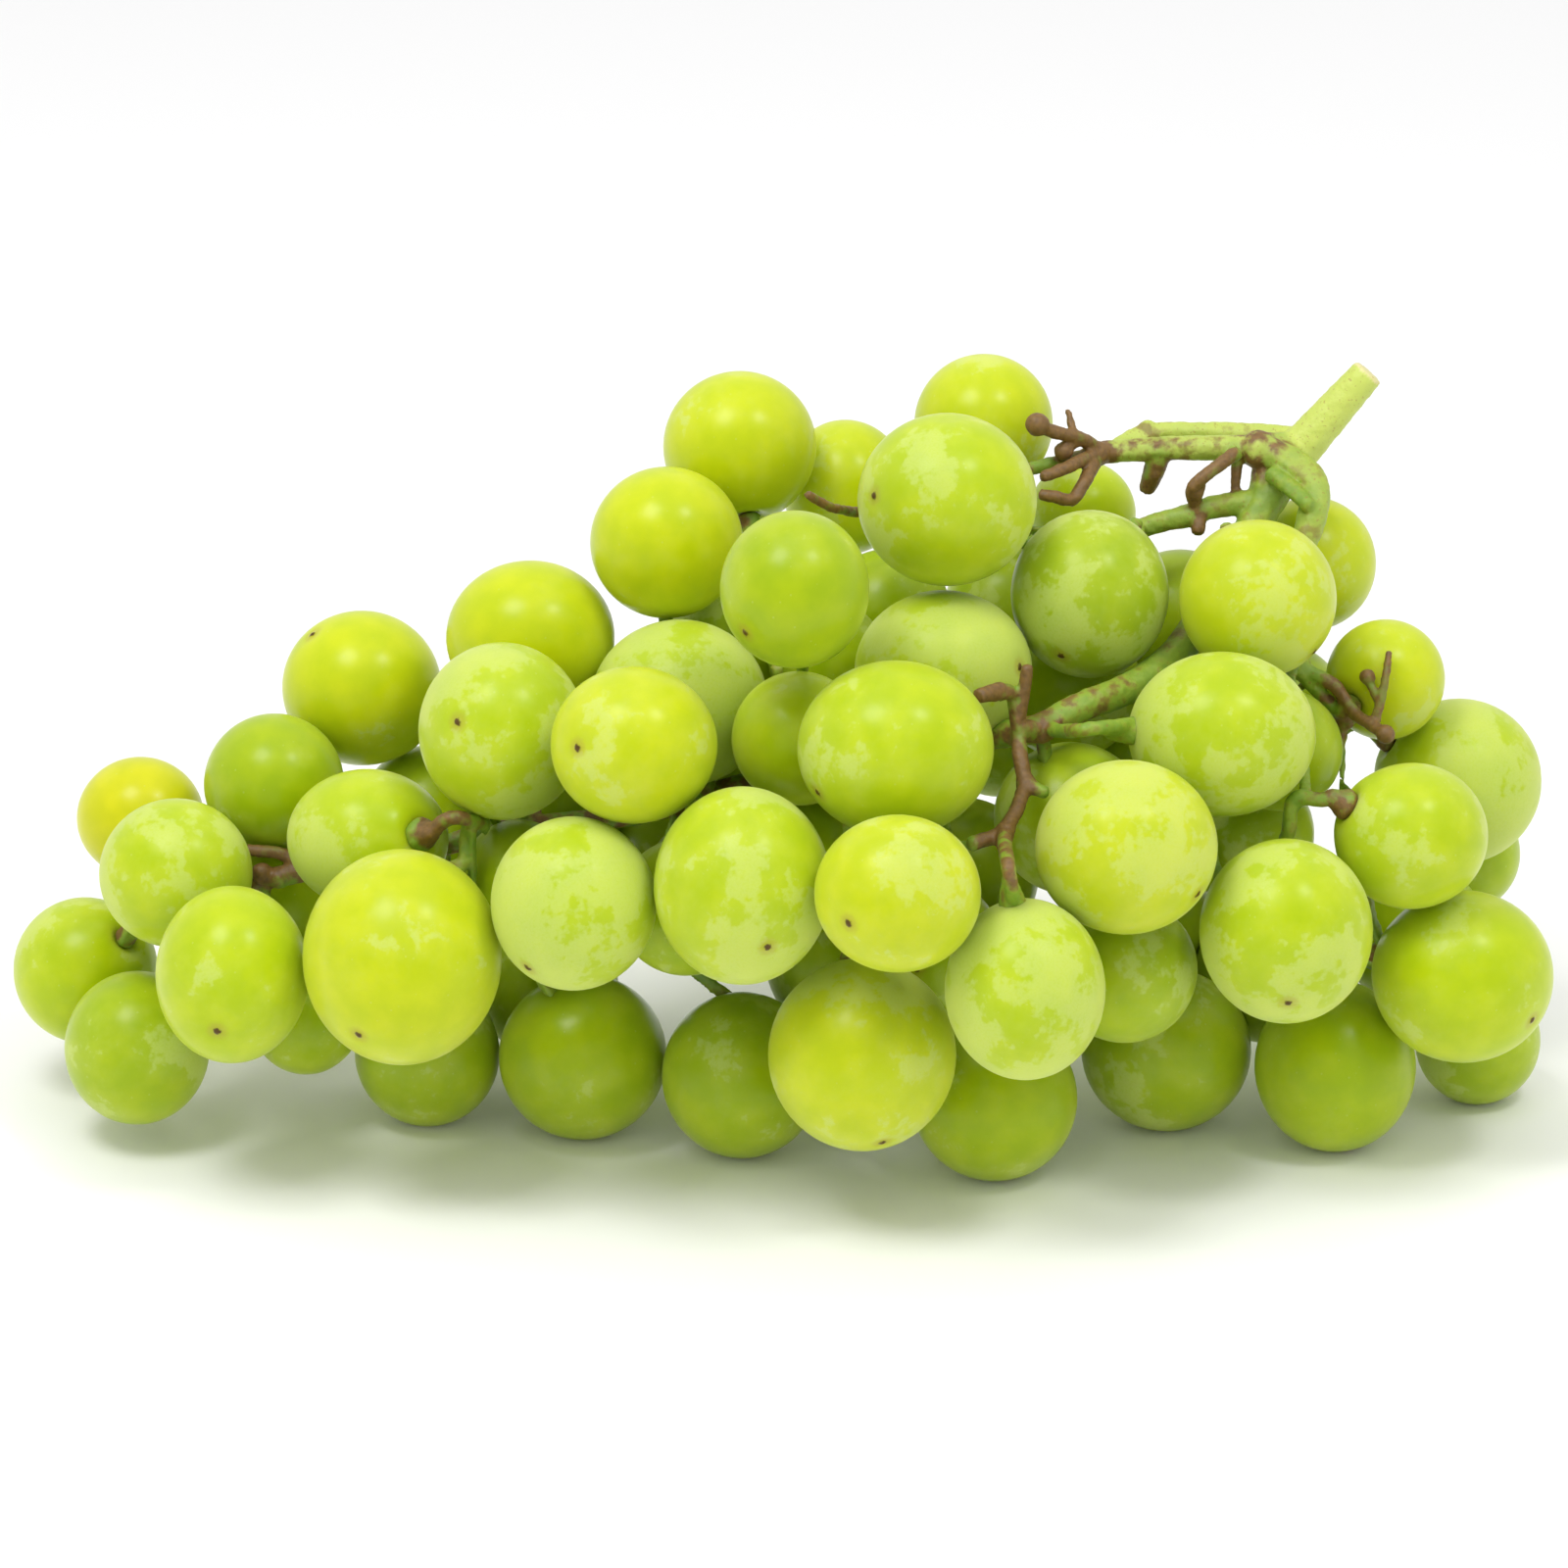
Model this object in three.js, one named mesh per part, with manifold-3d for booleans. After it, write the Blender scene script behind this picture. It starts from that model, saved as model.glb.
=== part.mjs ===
// A bunch of large green grapes lying on its side: one cut stalk with its branches, and its berries.
// Millimetres, +Z up. X runs along the bunch, and the stalk's cut end is at +X.
import * as THREE from 'three';
import { mergeVertices } from 'three/addons/utils/BufferGeometryUtils.js';
import Module from 'manifold-3d';

const wasm = await Module();
wasm.setup();

// Driving dimensions, in millimetres and degrees
const VIEW_ELEVATION = 22;
const VIEW_DISTANCE = 1200;
const VIEW_CENTRE_UP = 52.9;
const LOWEST_BERRY_UP = 11.3;
const BERRY_GAP = 0.25;
const STALK_GAP = 0.3;
const REST_SINK = 0.4;
const REST_SNAP = 1.2;
const INNER_REST_SNAP = 3.8;
const DEPTH_RATIO = 0.8;
const PIT_DEPTH = 1.2;
const PRESSED_DEPTH = 1.6;
const FRONT_FIT = 0.99;
const FRONT_DEPTH_FIT = 0.94;
const DEEP_SETBACK = 14;
const COARSE_SETBACK = 14;
const SPACE_SIZE = [500, 500, 200];
const CORNER_TOLERANCE = 0.002;
const SEED = 20261;

// Settling of the front berries along the line of sight
const RELAX_STEPS = 900;
const RELAX_SHARE = 0.6;
const RELAX_PULL = 0.02;
const YIELD_BASE = 9;
const YIELD_POWER = 3;

// Inner berries
const INNER_BERRY_RADIUS = [9.6, 11.4];
const INNER_BERRY_TRIES = 9000;
const INNER_BERRY_LIMIT = 27;
const INNER_SETBACK = 99;
const INNER_REACH = 0.6;
const CLUMP_LIMIT = 6;
const NESTLE_STEPS = 60;
const NESTLE_SHARE = 0.5;
const NESTLE_TOLERANCE = 0.06;
const RIM_POINTS = 12;
const RIM_MARGIN = 0.4;

// Branches, twigs and berry stems
const ARM_SIDES = 6;
const ARM_STEP = 9;
const TWIG_SIDES = 4;
const TWIG_STEP = 6;
const PEDICEL_RADIUS = 0.75;
const PEDICEL_SIDES = 3;
const PEDICEL_STEP = 8;
const SHARED_RADIUS_POWER = 0.35;
const SHARED_RADIUS_LIMIT = 1.5;
const RECEPTACLE_RADIUS = 1.3;
const SEEN_STEM_RADIUS = 0.85;
const SEEN_RECEPTACLE_RADIUS = 1.9;
const SEEN_STEM_STEP = 4;
const FLARE_SHARE = 2.4;
const STEM_START = -0.84;
const STEM_LIFT = 0.9;

// Free space among the berries: an even grid, and what a step through it costs
const GRID_STEP = 1.5;
const GRID_MARGIN = 14;
const GRID_CLEARANCE = 1.0;
const BERRY_ROUNDING = 1.02;
const STEP_COST = 2;
const OPEN_COST = 3;
const OPEN_DISTANCE = 4;
const SEEN_COST = 12;
const SMOOTHING_ROUNDS = 2;

// The bunch was measured in a view from in front and a little above: across and up in that view.
const elevation = THREE.MathUtils.degToRad(VIEW_ELEVATION);
const ACROSS = new THREE.Vector3(1, 0, 0);
const UP = new THREE.Vector3(0, Math.sin(elevation), Math.cos(elevation));
const AWAY = new THREE.Vector3(0, Math.cos(elevation), -Math.sin(elevation));
const AIM_HEIGHT = LOWEST_BERRY_UP - REST_SINK + (VIEW_CENTRE_UP - LOWEST_BERRY_UP) * UP.z;
const AIM = new THREE.Vector3(0, 0, AIM_HEIGHT);

const SCAR = 'scar';
const PIT = 'pit';

// How far a pit may turn from where it should face, and how dearly it pays for that
const SEEN_END = { leastTurn: 0.8, turnCost: 120 };
const HIDDEN_END = { leastTurn: -0.2, turnCost: 30 };

// Berries that show from the front: place of the centre across and up, half width, half height,
// how far it sits behind the front skin of the bunch, and where its scar or its stem pit shows,
// as fractions of its half width and half height from its centre.
function berry(across, up, halfWidth, halfHeight, setback, end = null, endAcross = 0, endUp = 0) {
  return { across, up, halfWidth, halfHeight, setback, end, endAcross, endUp };
}

const FRONT_BERRIES = [
  berry(-5.9, 97.6, 10.4, 10.3, 4),
  berry(26.5, 100.6, 9.4, 9.6, 20),
  berry(8.2, 92.2, 8.6, 9.1, 24),
  berry(21.6, 90.6, 12.1, 11.7, 0, SCAR, -0.83, 0.03),
  berry(-15.6, 84.9, 10.3, 10.4, 14),
  berry(1.4, 78.7, 10.1, 10.7, 0, SCAR, -0.67, -0.56),
  berry(40.6, 78.1, 10.7, 11.4, 6, SCAR, -0.39, -0.75),
  berry(62.8, 77.5, 10.7, 10.7, 4, SCAR, 0.71, -0.68),
  berry(69.9, 82.2, 8.8, 9.1, 20),
  berry(39.6, 88.7, 7.3, 7.3, 24),
  berry(-33.7, 72.4, 11.4, 10.4, 10),
  berry(-13.9, 63.6, 12.0, 11.4, 9),
  berry(21.1, 67.9, 12.0, 10.9, 8, SCAR, 0.86, 0.04),
  berry(-56.0, 65.7, 10.8, 10.5, 5, SCAR, -0.61, 0.69),
  berry(-37.4, 59.9, 11.3, 12.0, 2, SCAR, -0.51, 0.10),
  berry(-19.9, 58.1, 11.3, 10.7, -2, SCAR, -0.67, -0.04),
  berry(2.0, 59.0, 9.1, 9.1, 12),
  berry(14.8, 57.6, 13.3, 12.0, 0, SCAR, -0.80, -0.50),
  berry(58.1, 59.5, 12.7, 11.2, 0, PIT, -0.98, 0.02),
  berry(79.8, 66.8, 8.1, 8.2, 22),
  berry(89.4, 53.3, 11.3, 11.2, 12),
  berry(83.2, 46.0, 10.4, 9.9, 3, PIT, -0.86, 0.43),
  berry(45.4, 44.5, 12.3, 11.8, -4, SCAR, 0.78, -0.54),
  berry(66.6, 33.4, 11.7, 12.5, -1, SCAR, -0.01, -0.77),
  berry(90.0, 27.4, 12.2, 11.7, -3, SCAR, 0.74, -0.50),
  berry(-67.6, 52.9, 9.5, 9.6, 14),
  berry(-85.3, 48.4, 8.6, 8.3, 18),
  berry(-80.7, 41.1, 10.4, 10.1, 5),
  berry(-55.2, 45.6, 10.9, 9.5, 6, PIT, 0.69, 0.07),
  berry(-92.6, 28.2, 9.8, 9.9, -4),
  berry(-73.2, 27.7, 10.4, 12.0, 0, SCAR, -0.15, -0.63),
  berry(-85.8, 17.9, 9.8, 10.4, 6),
  berry(-50.7, 29.9, 13.5, 14.6, -2, SCAR, -0.41, -0.71),
  berry(-27.9, 37.1, 11.2, 11.8, -2, SCAR, -0.55, -0.74),
  berry(-5.5, 39.4, 12.0, 13.4, -1, SCAR, 0.29, -0.61),
  berry(15.1, 38.4, 11.3, 10.7, -6, SCAR, -0.60, -0.37),
  berry(32.0, 25.7, 10.9, 12.3, -4, PIT, -0.15, 0.97),
  berry(10.4, 17.0, 12.7, 13.0, -8, SCAR, 0.21, -0.91),
  berry(45.2, 28.2, 9.9, 9.8, 9),
  berry(-26.7, 16.8, 11.3, 11.3, 14),
  berry(-5.6, 15.0, 10.8, 11.4, 14),
  berry(-47.3, 17.2, 9.8, 9.9, 16),
  berry(-63.4, 21.7, 7.5, 7.5, 22),
  berry(27.9, 11.3, 11.2, 11.3, 8),
  berry(50.7, 17.8, 11.4, 11.2, 14),
  berry(73.1, 15.5, 10.9, 11.6, 10),
  berry(92.0, 18.9, 8.5, 8.7, 16),
  berry(38.0, 48.4, 10.4, 10.4, 22),
  berry(-35.1, 40.6, 7.8, 7.8, 22),
  berry(37.7, 65.9, 9.9, 9.9, 24),
  berry(-13.0, 36.7, 9.4, 9.4, 22),
  berry(66.0, 57.5, 8.4, 8.4, 22),
  berry(61.1, 46.4, 9.4, 9.4, 26),
  berry(89.7, 43.8, 8.1, 8.1, 26),
  berry(29.9, 76.3, 8.8, 8.8, 26),
  berry(13.7, 75.7, 8.6, 8.6, 26),
  berry(5.9, 69.2, 8.1, 8.1, 26),
  berry(52.6, 74.4, 9.9, 9.9, 26),
];

// Top and bottom outlines of the bunch in that view, as [across, up]
const SKYLINE = [
  [-102, 27], [-93, 54], [-66, 74], [-44, 82], [-21, 94], [-8, 107], [26, 110],
  [36, 102], [52, 89], [74, 89], [87, 72], [100, 58], [103, 28],
];
const UNDERLINE = [[-102, 26], [-86, 7], [-56, 8], [-26, 5], [27, 0], [50, 6], [73, 4], [92, 10], [103, 27]];

// Branches of the stalk, as radii at both ends and points [across, up, depth away from the viewer]
function branch(startRadius, endRadius, ...points) {
  return { startRadius, endRadius, points };
}

const ARMS = [
  branch(2.1, 2.8, [77.5, 107.5, 16], [73.1, 102.6, 17], [68.2, 97.1, 18]),
  branch(2.8, 2.1, [68.2, 97.1, 18], [65.5, 96.6, 16], [62.5, 97.3, 14]),
  branch(2.0, 0.9, [68.2, 98.2, 19], [63.1, 98.9, 20], [55.9, 99.4, 20], [48.2, 99.5, 19], [43.5, 97.4, 17]),
  branch(1.7, 1.4, [63.1, 97.4, 15], [55.9, 97.5, 15], [49.4, 97.4, 16], [42.1, 96.9, 16]),
  branch(1.5, 1.0, [49.8, 96.9, 16], [49.1, 94.2, 17], [48.0, 91.9, 19]),
  branch(2.0, 1.2, [64.4, 96.9, 14], [68.0, 95.2, 13], [70.3, 92.8, 11], [70.3, 88.5, 9],
    [67.5, 80.5, 8], [67.0, 73.0, 8], [69.0, 67.2, 8]),
  branch(2.4, 1.8, [64.8, 96.9, 16], [65.6, 93.2, 15], [62.8, 88.2, 14], [57.2, 77.6, 10], [51.4, 69.5, 2],
    [45.5, 65.5, -4], [39.8, 63.3, -9], [33.8, 60.2, -12]),
  branch(1.8, 1.1, [33.8, 60.2, -12], [26.0, 59.1, -4], [13.0, 57.5, 2], [0.0, 54.2, 5], [-19.5, 49.0, 6],
    [-39.0, 46.4, 6], [-52.0, 42.5, 8], [-67.0, 40.8, 10], [-76.7, 36.0, 14]),
  branch(1.6, 1.1, [64.0, 90.6, 15], [57.2, 89.7, 14], [53.8, 88.5, 13], [48.5, 87.2, 14], [42.0, 84.5, 16]),
  branch(0.9, 0.8, [69.0, 67.2, 8], [72.2, 63.8, 9], [75.3, 60.6, 9]),
];
const TWIGS = [
  branch(1.1, 0.9, [64.5, 94.2, 12], [68.0, 91.5, 9], [69.7, 89.6, 7]),
  branch(0.9, 0.6, [60.1, 96.9, 13], [58.1, 95.5, 11], [56.0, 93.9, 10], [54.1, 92.2, 10], [54.5, 89.0, 13]),
  branch(0.7, 0.5, [60.1, 95.8, 15], [59.8, 91.0, 15]),
  branch(1.0, 0.8, [54.9, 89.2, 13], [55.0, 86.1, 12]),
  branch(0.9, 0.7, [42.1, 96.9, 16], [39.5, 98.7, 12], [35.5, 99.6, 9], [33.6, 100.6, 8]),
  branch(0.5, 0.4, [38.5, 98.9, 11], [37.7, 102.5, 12]),
  branch(0.9, 0.7, [42.1, 96.9, 16], [39.6, 95.9, 11], [37.4, 94.8, 8], [34.2, 93.6, 6]),
  branch(0.9, 0.7, [41.6, 96.5, 15], [39.8, 92.8, 9], [38.2, 90.5, 8], [36.1, 91.0, 6], [33.9, 91.3, 6]),
  branch(0.8, 0.9, [30.3, 65.4, -16], [31.1, 60.1, -15], [31.3, 56.3, -17], [32.1, 52.9, -18]),
  branch(0.8, 0.9, [30.6, 64.9, -16], [28.6, 65.5, -18], [25.8, 64.5, -21]),
  branch(0.8, 0.7, [31.2, 61.5, -15], [31.8, 65.0, -16], [32.3, 68.6, -17]),
  branch(0.9, 0.7, [32.1, 52.9, -18], [33.6, 52.1, -19], [35.0, 51.8, -19]),
  branch(0.9, 0.8, [32.1, 52.9, -18], [30.8, 49.3, -22], [29.2, 46.7, -25], [29.1, 44.1, -27]),
  branch(0.8, 0.9, [29.2, 46.4, -25], [26.5, 45.5, -26], [24.8, 44.9, -28]),
  branch(0.8, 0.7, [-63.0, 41.3, 9.5], [-66.2, 43.5, 9.5], [-71.4, 44.2, 9]),
  branch(1.5, 1.2, [33.8, 60.2, -12], [31.0, 60.0, -15.2]),
  branch(0.6, 0.6, [39.5, 98.7, 12], [37.1, 97.0, 11]),
  branch(0.5, 0.5, [79.0, 63.5, 4], [77.4, 67.1, 5]),
  branch(0.9, 0.7, [68.6, 68.2, 8], [73.1, 65.9, 7], [75.0, 62.8, 7], [77.5, 61.0, 4], [79.8, 59.5, 2]),
  branch(0.6, 0.4, [78.3, 60.8, 4], [79.6, 65.9, 4], [80.3, 70.5, 5]),
  branch(0.9, 0.5, [42.1, 96.9, 16], [30.0, 94.0, 10], [20.0, 91.0, 10], [11.5, 89.0, 6], [7.5, 89.3, -3],
    [5.9, 89.7, -6], [3.0, 91.4, -9]),
];

// Knobs where dry twigs broke off and where branches fork: [radius, across, up, depth]
const KNOBS = [
  [2.5, 63.0, 97.3, 14.5], [1.5, 33.6, 100.6, 8], [1.2, 37.1, 97.0, 11], [1.6, 41.6, 96.7, 15],
  [1.2, 48.2, 99.9, 19], [1.9, 34.2, 60.3, -12], [1.3, 32.1, 52.9, -18], [1.2, 29.3, 46.6, -25],
  [1.2, 79.8, 59.5, 2], [1.0, 77.4, 67.1, 5], [1.1, 54.4, 91.6, 11],
  [1.3, -69.3, 41.1, 9.6], [1.3, -67.0, 40.4, 9.6],
];

// Berry stems that show: the berry's number, and the places that its stem runs through from the pit
const SEEN_STEMS = new Map([
  [19, [[41.5, 60.3, -22], [37.4, 59.9, -17], [35.2, 60.1, -13]]],
  [22, [[71.5, 50.7, -13], [68.4, 51.3, -12.5]]],
  [24, [[67.0, 46.5, -11], [67.3, 50.4, -12], [68.4, 51.3, -12.5]]],
  [29, [[-45.6, 47.8, -12], [-43.5, 48.5, -12.5], [-41.4, 48.0, -11], [-39.6, 47.6, -7]]],
  [33, [[-42.4, 42.4, -9], [-42.1, 46.3, -9], [-41.4, 48.0, -11]]],
  [37, [[30.0, 40.4, -39], [29.4, 44.0, -32], [29.2, 46.2, -26]]],
]);

function seededRandom(seed) {
  let state = seed;
  return () => {
    state = (state + 0x6d2b79f5) | 0;
    let mixed = Math.imul(state ^ (state >>> 15), 1 | state);
    mixed = (mixed + Math.imul(mixed ^ (mixed >>> 7), 61 | mixed)) ^ mixed;
    return ((mixed ^ (mixed >>> 14)) >>> 0) / 4294967296;
  };
}

function nearFactor(depth) {
  return (VIEW_DISTANCE + depth) / VIEW_DISTANCE;
}

function viewPoint(across, up, depth) {
  const near = nearFactor(depth);
  return AIM.clone()
    .addScaledVector(ACROSS, across * near)
    .addScaledVector(UP, (up - VIEW_CENTRE_UP) * near)
    .addScaledVector(AWAY, depth);
}

// Where a point stands in the view
function inView(point) {
  const offset = point.clone().sub(AIM);
  const depth = offset.dot(AWAY);
  const near = nearFactor(depth);
  return { across: offset.dot(ACROSS) / near, up: VIEW_CENTRE_UP + offset.dot(UP) / near, depth };
}

function outlineAt(outline, across) {
  const after = outline.findIndex(([x]) => x > across);
  if (after <= 0) return after === 0 ? outline[0][1] : outline.at(-1)[1];
  const [x0, y0] = outline[after - 1];
  const [x1, y1] = outline[after];
  return THREE.MathUtils.mapLinear(across, x0, x1, y0, y1);
}

// The bunch's cross-section: a flattened circle between both outlines, which touches the surface below
function sectionAt(across) {
  const top = outlineAt(SKYLINE, across);
  const bottom = outlineAt(UNDERLINE, across);
  const radius = (top - bottom) / 2;
  const middle = (top + bottom) / 2;
  const touching = (AIM_HEIGHT + (middle - VIEW_CENTRE_UP) * UP.z - radius) / -AWAY.z;
  return { radius, middle, depth: Math.max(2, touching) };
}

function frontSkinDepth(across, up, size) {
  const section = sectionAt(across);
  const reach = Math.max(0, (section.radius - size) ** 2 - (up - section.middle) ** 2);
  return section.depth - DEPTH_RATIO * Math.sqrt(reach);
}

// Half the berry's extent in a direction
function extent(item, direction) {
  const { x, y, z } = item.halfAxes;
  return Math.hypot(x * direction.dot(ACROSS), y * direction.dot(AWAY), z * direction.dot(UP));
}

function placeFrontBerry(item) {
  const near = nearFactor(item.depth);
  const deep = FRONT_DEPTH_FIT * (item.halfWidth + item.halfHeight) / 2;
  item.halfAxes = new THREE.Vector3(FRONT_FIT * item.halfWidth, deep, FRONT_FIT * item.halfHeight);
  item.halfAxes.multiplyScalar(near);
  item.centre = viewPoint(item.across, item.up, item.depth);
}

function makeFrontBerries() {
  return FRONT_BERRIES.map((measured, index) => {
    const size = (measured.halfWidth + measured.halfHeight) / 2;
    const item = { ...measured, front: true, stemPlaces: SEEN_STEMS.get(index + 1) };
    item.aimed = frontSkinDepth(item.across, item.up, size) + item.setback;
    item.depth = item.aimed;
    placeFrontBerry(item);
    return item;
  });
}

// Branch centre lines as short straight stretches, with a radius each
function branchStretches(branches) {
  return branches.flatMap(({ startRadius, endRadius, points }) => {
    const places = points.map((point) => viewPoint(...point));
    return places.slice(1).map((to, index) => {
      const share = (index + 0.5) / (places.length - 1);
      const radius = THREE.MathUtils.lerp(startRadius, endRadius, share);
      return { line: new THREE.Line3(places[index], to), radius };
    });
  });
}

function restHeight(item) {
  return extent(item, new THREE.Vector3(0, 0, 1)) - REST_SINK;
}

// How readily a berry gives way: the front ones hardly move
function yieldOf(item) {
  return (item.setback + YIELD_BASE) ** YIELD_POWER;
}

// Moves the front berries along the line of sight until none presses into another, into a branch or
// below the surface. Their places in the view stay.
function settleFrontBerries(items, stretches) {
  const gapLine = new THREE.Vector3();
  for (let step = 0; step < RELAX_STEPS; step += 1) {
    const pull = step < RELAX_STEPS / 2 ? RELAX_PULL : 0;
    const shifts = items.map((item) => (item.aimed - item.depth) * pull);
    items.forEach((first, i) => {
      for (let j = i + 1; j < items.length; j += 1) {
        const second = items[j];
        gapLine.subVectors(second.centre, first.centre);
        const apart = gapLine.length();
        const order = Math.sign(second.aimed - first.aimed);
        const along = gapLine.dot(AWAY) * order;
        const aside = Math.sqrt(Math.max(0, apart ** 2 - along ** 2));
        const direction = gapLine.normalize();
        const needed = extent(first, direction) + extent(second, direction) + BERRY_GAP;
        if (aside >= needed) continue;
        const short = Math.sqrt(needed ** 2 - aside ** 2) - along;
        if (short <= 0) continue;
        const yielding = yieldOf(first) / (yieldOf(first) + yieldOf(second));
        shifts[i] -= order * short * RELAX_SHARE * yielding;
        shifts[j] += order * short * RELAX_SHARE * (1 - yielding);
      }
      for (const { line, radius } of stretches) {
        const closest = line.closestPointToPoint(first.centre, true, new THREE.Vector3());
        gapLine.subVectors(first.centre, closest);
        const apart = gapLine.length();
        const along = gapLine.dot(AWAY);
        const aside = Math.sqrt(Math.max(0, apart ** 2 - along ** 2));
        const needed = extent(first, gapLine.normalize()) + radius + STALK_GAP;
        if (apart >= needed || aside >= needed) continue;
        const side = Math.sign(along) || 1;
        shifts[i] += side * (Math.sqrt(needed ** 2 - aside ** 2) - Math.abs(along)) * RELAX_SHARE;
      }
    });
    items.forEach((item, i) => {
      item.depth += shifts[i];
      placeFrontBerry(item);
      const sunk = restHeight(item) - item.centre.z;
      if (sunk > 0) {
        item.depth += sunk / AWAY.z;
        placeFrontBerry(item);
      }
    });
  }
}

// A ball of even triangles whose first corner points along +Z
function unitBall(detail) {
  const geometry = new THREE.IcosahedronGeometry(1, detail);
  geometry.deleteAttribute('normal');
  geometry.deleteAttribute('uv');
  const merged = mergeVertices(geometry);
  const first = new THREE.Vector3().fromBufferAttribute(merged.getAttribute('position'), 0);
  merged.applyQuaternion(new THREE.Quaternion().setFromUnitVectors(first, new THREE.Vector3(0, 0, 1)));
  return merged;
}

function cornersOf(geometry) {
  const places = geometry.getAttribute('position');
  const corner = (_, index) => new THREE.Vector3().fromBufferAttribute(places, index);
  return Array.from({ length: places.count }, corner);
}

const FINE_BALL = unitBall(2);
const COARSE_BALL = unitBall(1);
const DIRECTIONS = cornersOf(FINE_BALL);

// Whether a spot is behind the front berries, so that it doesn't show in the view
function isCovered(point, frontItems, margin) {
  const spot = inView(point);
  return frontItems.some((item) => {
    const across = (spot.across - item.across) / (FRONT_FIT * item.halfWidth - margin);
    const up = (spot.up - item.up) / (FRONT_FIT * item.halfHeight - margin);
    return spot.depth > item.depth && across ** 2 + up ** 2 < 1;
  });
}

function isBerryCovered(item, frontItems) {
  const size = item.halfAxes.x;
  return Array.from({ length: RIM_POINTS }, (_, index) => index).every((index) => {
    const angle = (2 * Math.PI * index) / RIM_POINTS;
    const rim = item.centre.clone()
      .addScaledVector(ACROSS, size * Math.cos(angle))
      .addScaledVector(UP, size * Math.sin(angle));
    return isCovered(rim, frontItems, RIM_MARGIN);
  });
}

function isInSection(item) {
  const { across, up, depth } = inView(item.centre);
  const section = sectionAt(across);
  const away = (depth - section.depth) / DEPTH_RATIO;
  return Math.hypot(up - section.middle, away) < section.radius - INNER_REACH * item.halfAxes.x;
}

// Pushes a new inner berry clear of the others and up against the one that it presses on. A low one
// ends up resting on the surface.
function nestle(item, host, others, stretches) {
  const line = new THREE.Vector3();
  let worst = 0;
  for (let step = 0; step < NESTLE_STEPS; step += 1) {
    worst = 0;
    for (const other of others) {
      line.subVectors(item.centre, other.centre);
      const apart = line.length();
      line.normalize();
      const touching = extent(item, line) + extent(other, line);
      const wanted = other === host ? touching - PRESSED_DEPTH : touching + BERRY_GAP;
      const short = wanted - apart;
      if (short > 0 || other === host) item.centre.addScaledVector(line, short * NESTLE_SHARE);
      worst = Math.max(worst, other === host ? Math.abs(short) : short);
    }
    for (const stretch of stretches) {
      const closest = stretch.line.closestPointToPoint(item.centre, true, new THREE.Vector3());
      line.subVectors(item.centre, closest);
      const short = item.halfAxes.x + stretch.radius + STALK_GAP - line.length();
      if (short > 0) item.centre.addScaledVector(line.normalize(), short * NESTLE_SHARE);
      worst = Math.max(worst, short);
    }
    const low = restHeight(item);
    if (item.centre.z < low + INNER_REST_SNAP) item.centre.z = low;
  }
  return worst < NESTLE_TOLERANCE;
}

// Fills the bunch behind the front berries. Each inner berry presses on a deep one, mostly from
// behind or below, and both grow into one clump.
function addInnerBerries(frontItems, stretches) {
  const random = seededRandom(SEED);
  const items = [...frontItems];
  const hosts = frontItems.filter((item) => item.setback >= DEEP_SETBACK);
  hosts.forEach((host) => { host.clump = [host]; });
  for (let attempt = 0; attempt < INNER_BERRY_TRIES; attempt += 1) {
    if (items.length >= frontItems.length + INNER_BERRY_LIMIT) break;
    const radius = THREE.MathUtils.lerp(...INNER_BERRY_RADIUS, random());
    const host = hosts[Math.floor(random() * hosts.length)];
    if (host.clump.length >= CLUMP_LIMIT) continue;
    const aside = new THREE.Vector3(random() * 2 - 1, random() * 2 - 0.9, random() * 2 - 1.1).normalize();
    const halfAxes = new THREE.Vector3(radius, radius, radius);
    const item = { front: false, setback: INNER_SETBACK, halfAxes };
    item.centre = host.centre.clone().addScaledVector(aside, radius + host.halfAxes.y);
    if (!nestle(item, host, items, stretches)) continue;
    if (!isInSection(item) || !isBerryCovered(item, frontItems)) continue;
    item.clump = host.clump;
    host.clump.push(item);
    items.push(item);
    hosts.push(item);
  }
  return items;
}

// Front berries that all but touch the surface below rest on it
function restLowBerries(items) {
  for (const item of items) {
    const above = item.centre.z - restHeight(item);
    if (above > 0 && above < REST_SNAP) item.centre.z -= above;
  }
}

// Points the stem pit of each berry: where it was seen, or else towards the stalk
function pointPits(items, stretches) {
  for (const item of items) {
    const toStalk = new THREE.Vector3(0, 0, 0);
    let nearest = Infinity;
    for (const { line } of stretches) {
      const closest = line.closestPointToPoint(item.centre, true, new THREE.Vector3());
      const away = closest.distanceTo(item.centre);
      if (away >= nearest) continue;
      nearest = away;
      toStalk.subVectors(closest, item.centre);
    }
    item.wantedPit = toStalk.normalize();
    if (!item.end) continue;
    const towards = Math.sqrt(Math.max(0, 1 - item.endAcross ** 2 - item.endUp ** 2));
    const seen = new THREE.Vector3()
      .addScaledVector(ACROSS, item.endAcross)
      .addScaledVector(UP, item.endUp)
      .addScaledVector(AWAY, -towards)
      .normalize();
    item.wantedPit = item.end === PIT ? seen : seen.negate();
  }
}

function skinPoint(item, direction, outwards) {
  const local = new THREE.Vector3(direction.dot(ACROSS), direction.dot(AWAY), direction.dot(UP));
  const reach = 1 / local.divide(item.halfAxes).length();
  return item.centre.clone().addScaledVector(direction, reach + outwards);
}

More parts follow.
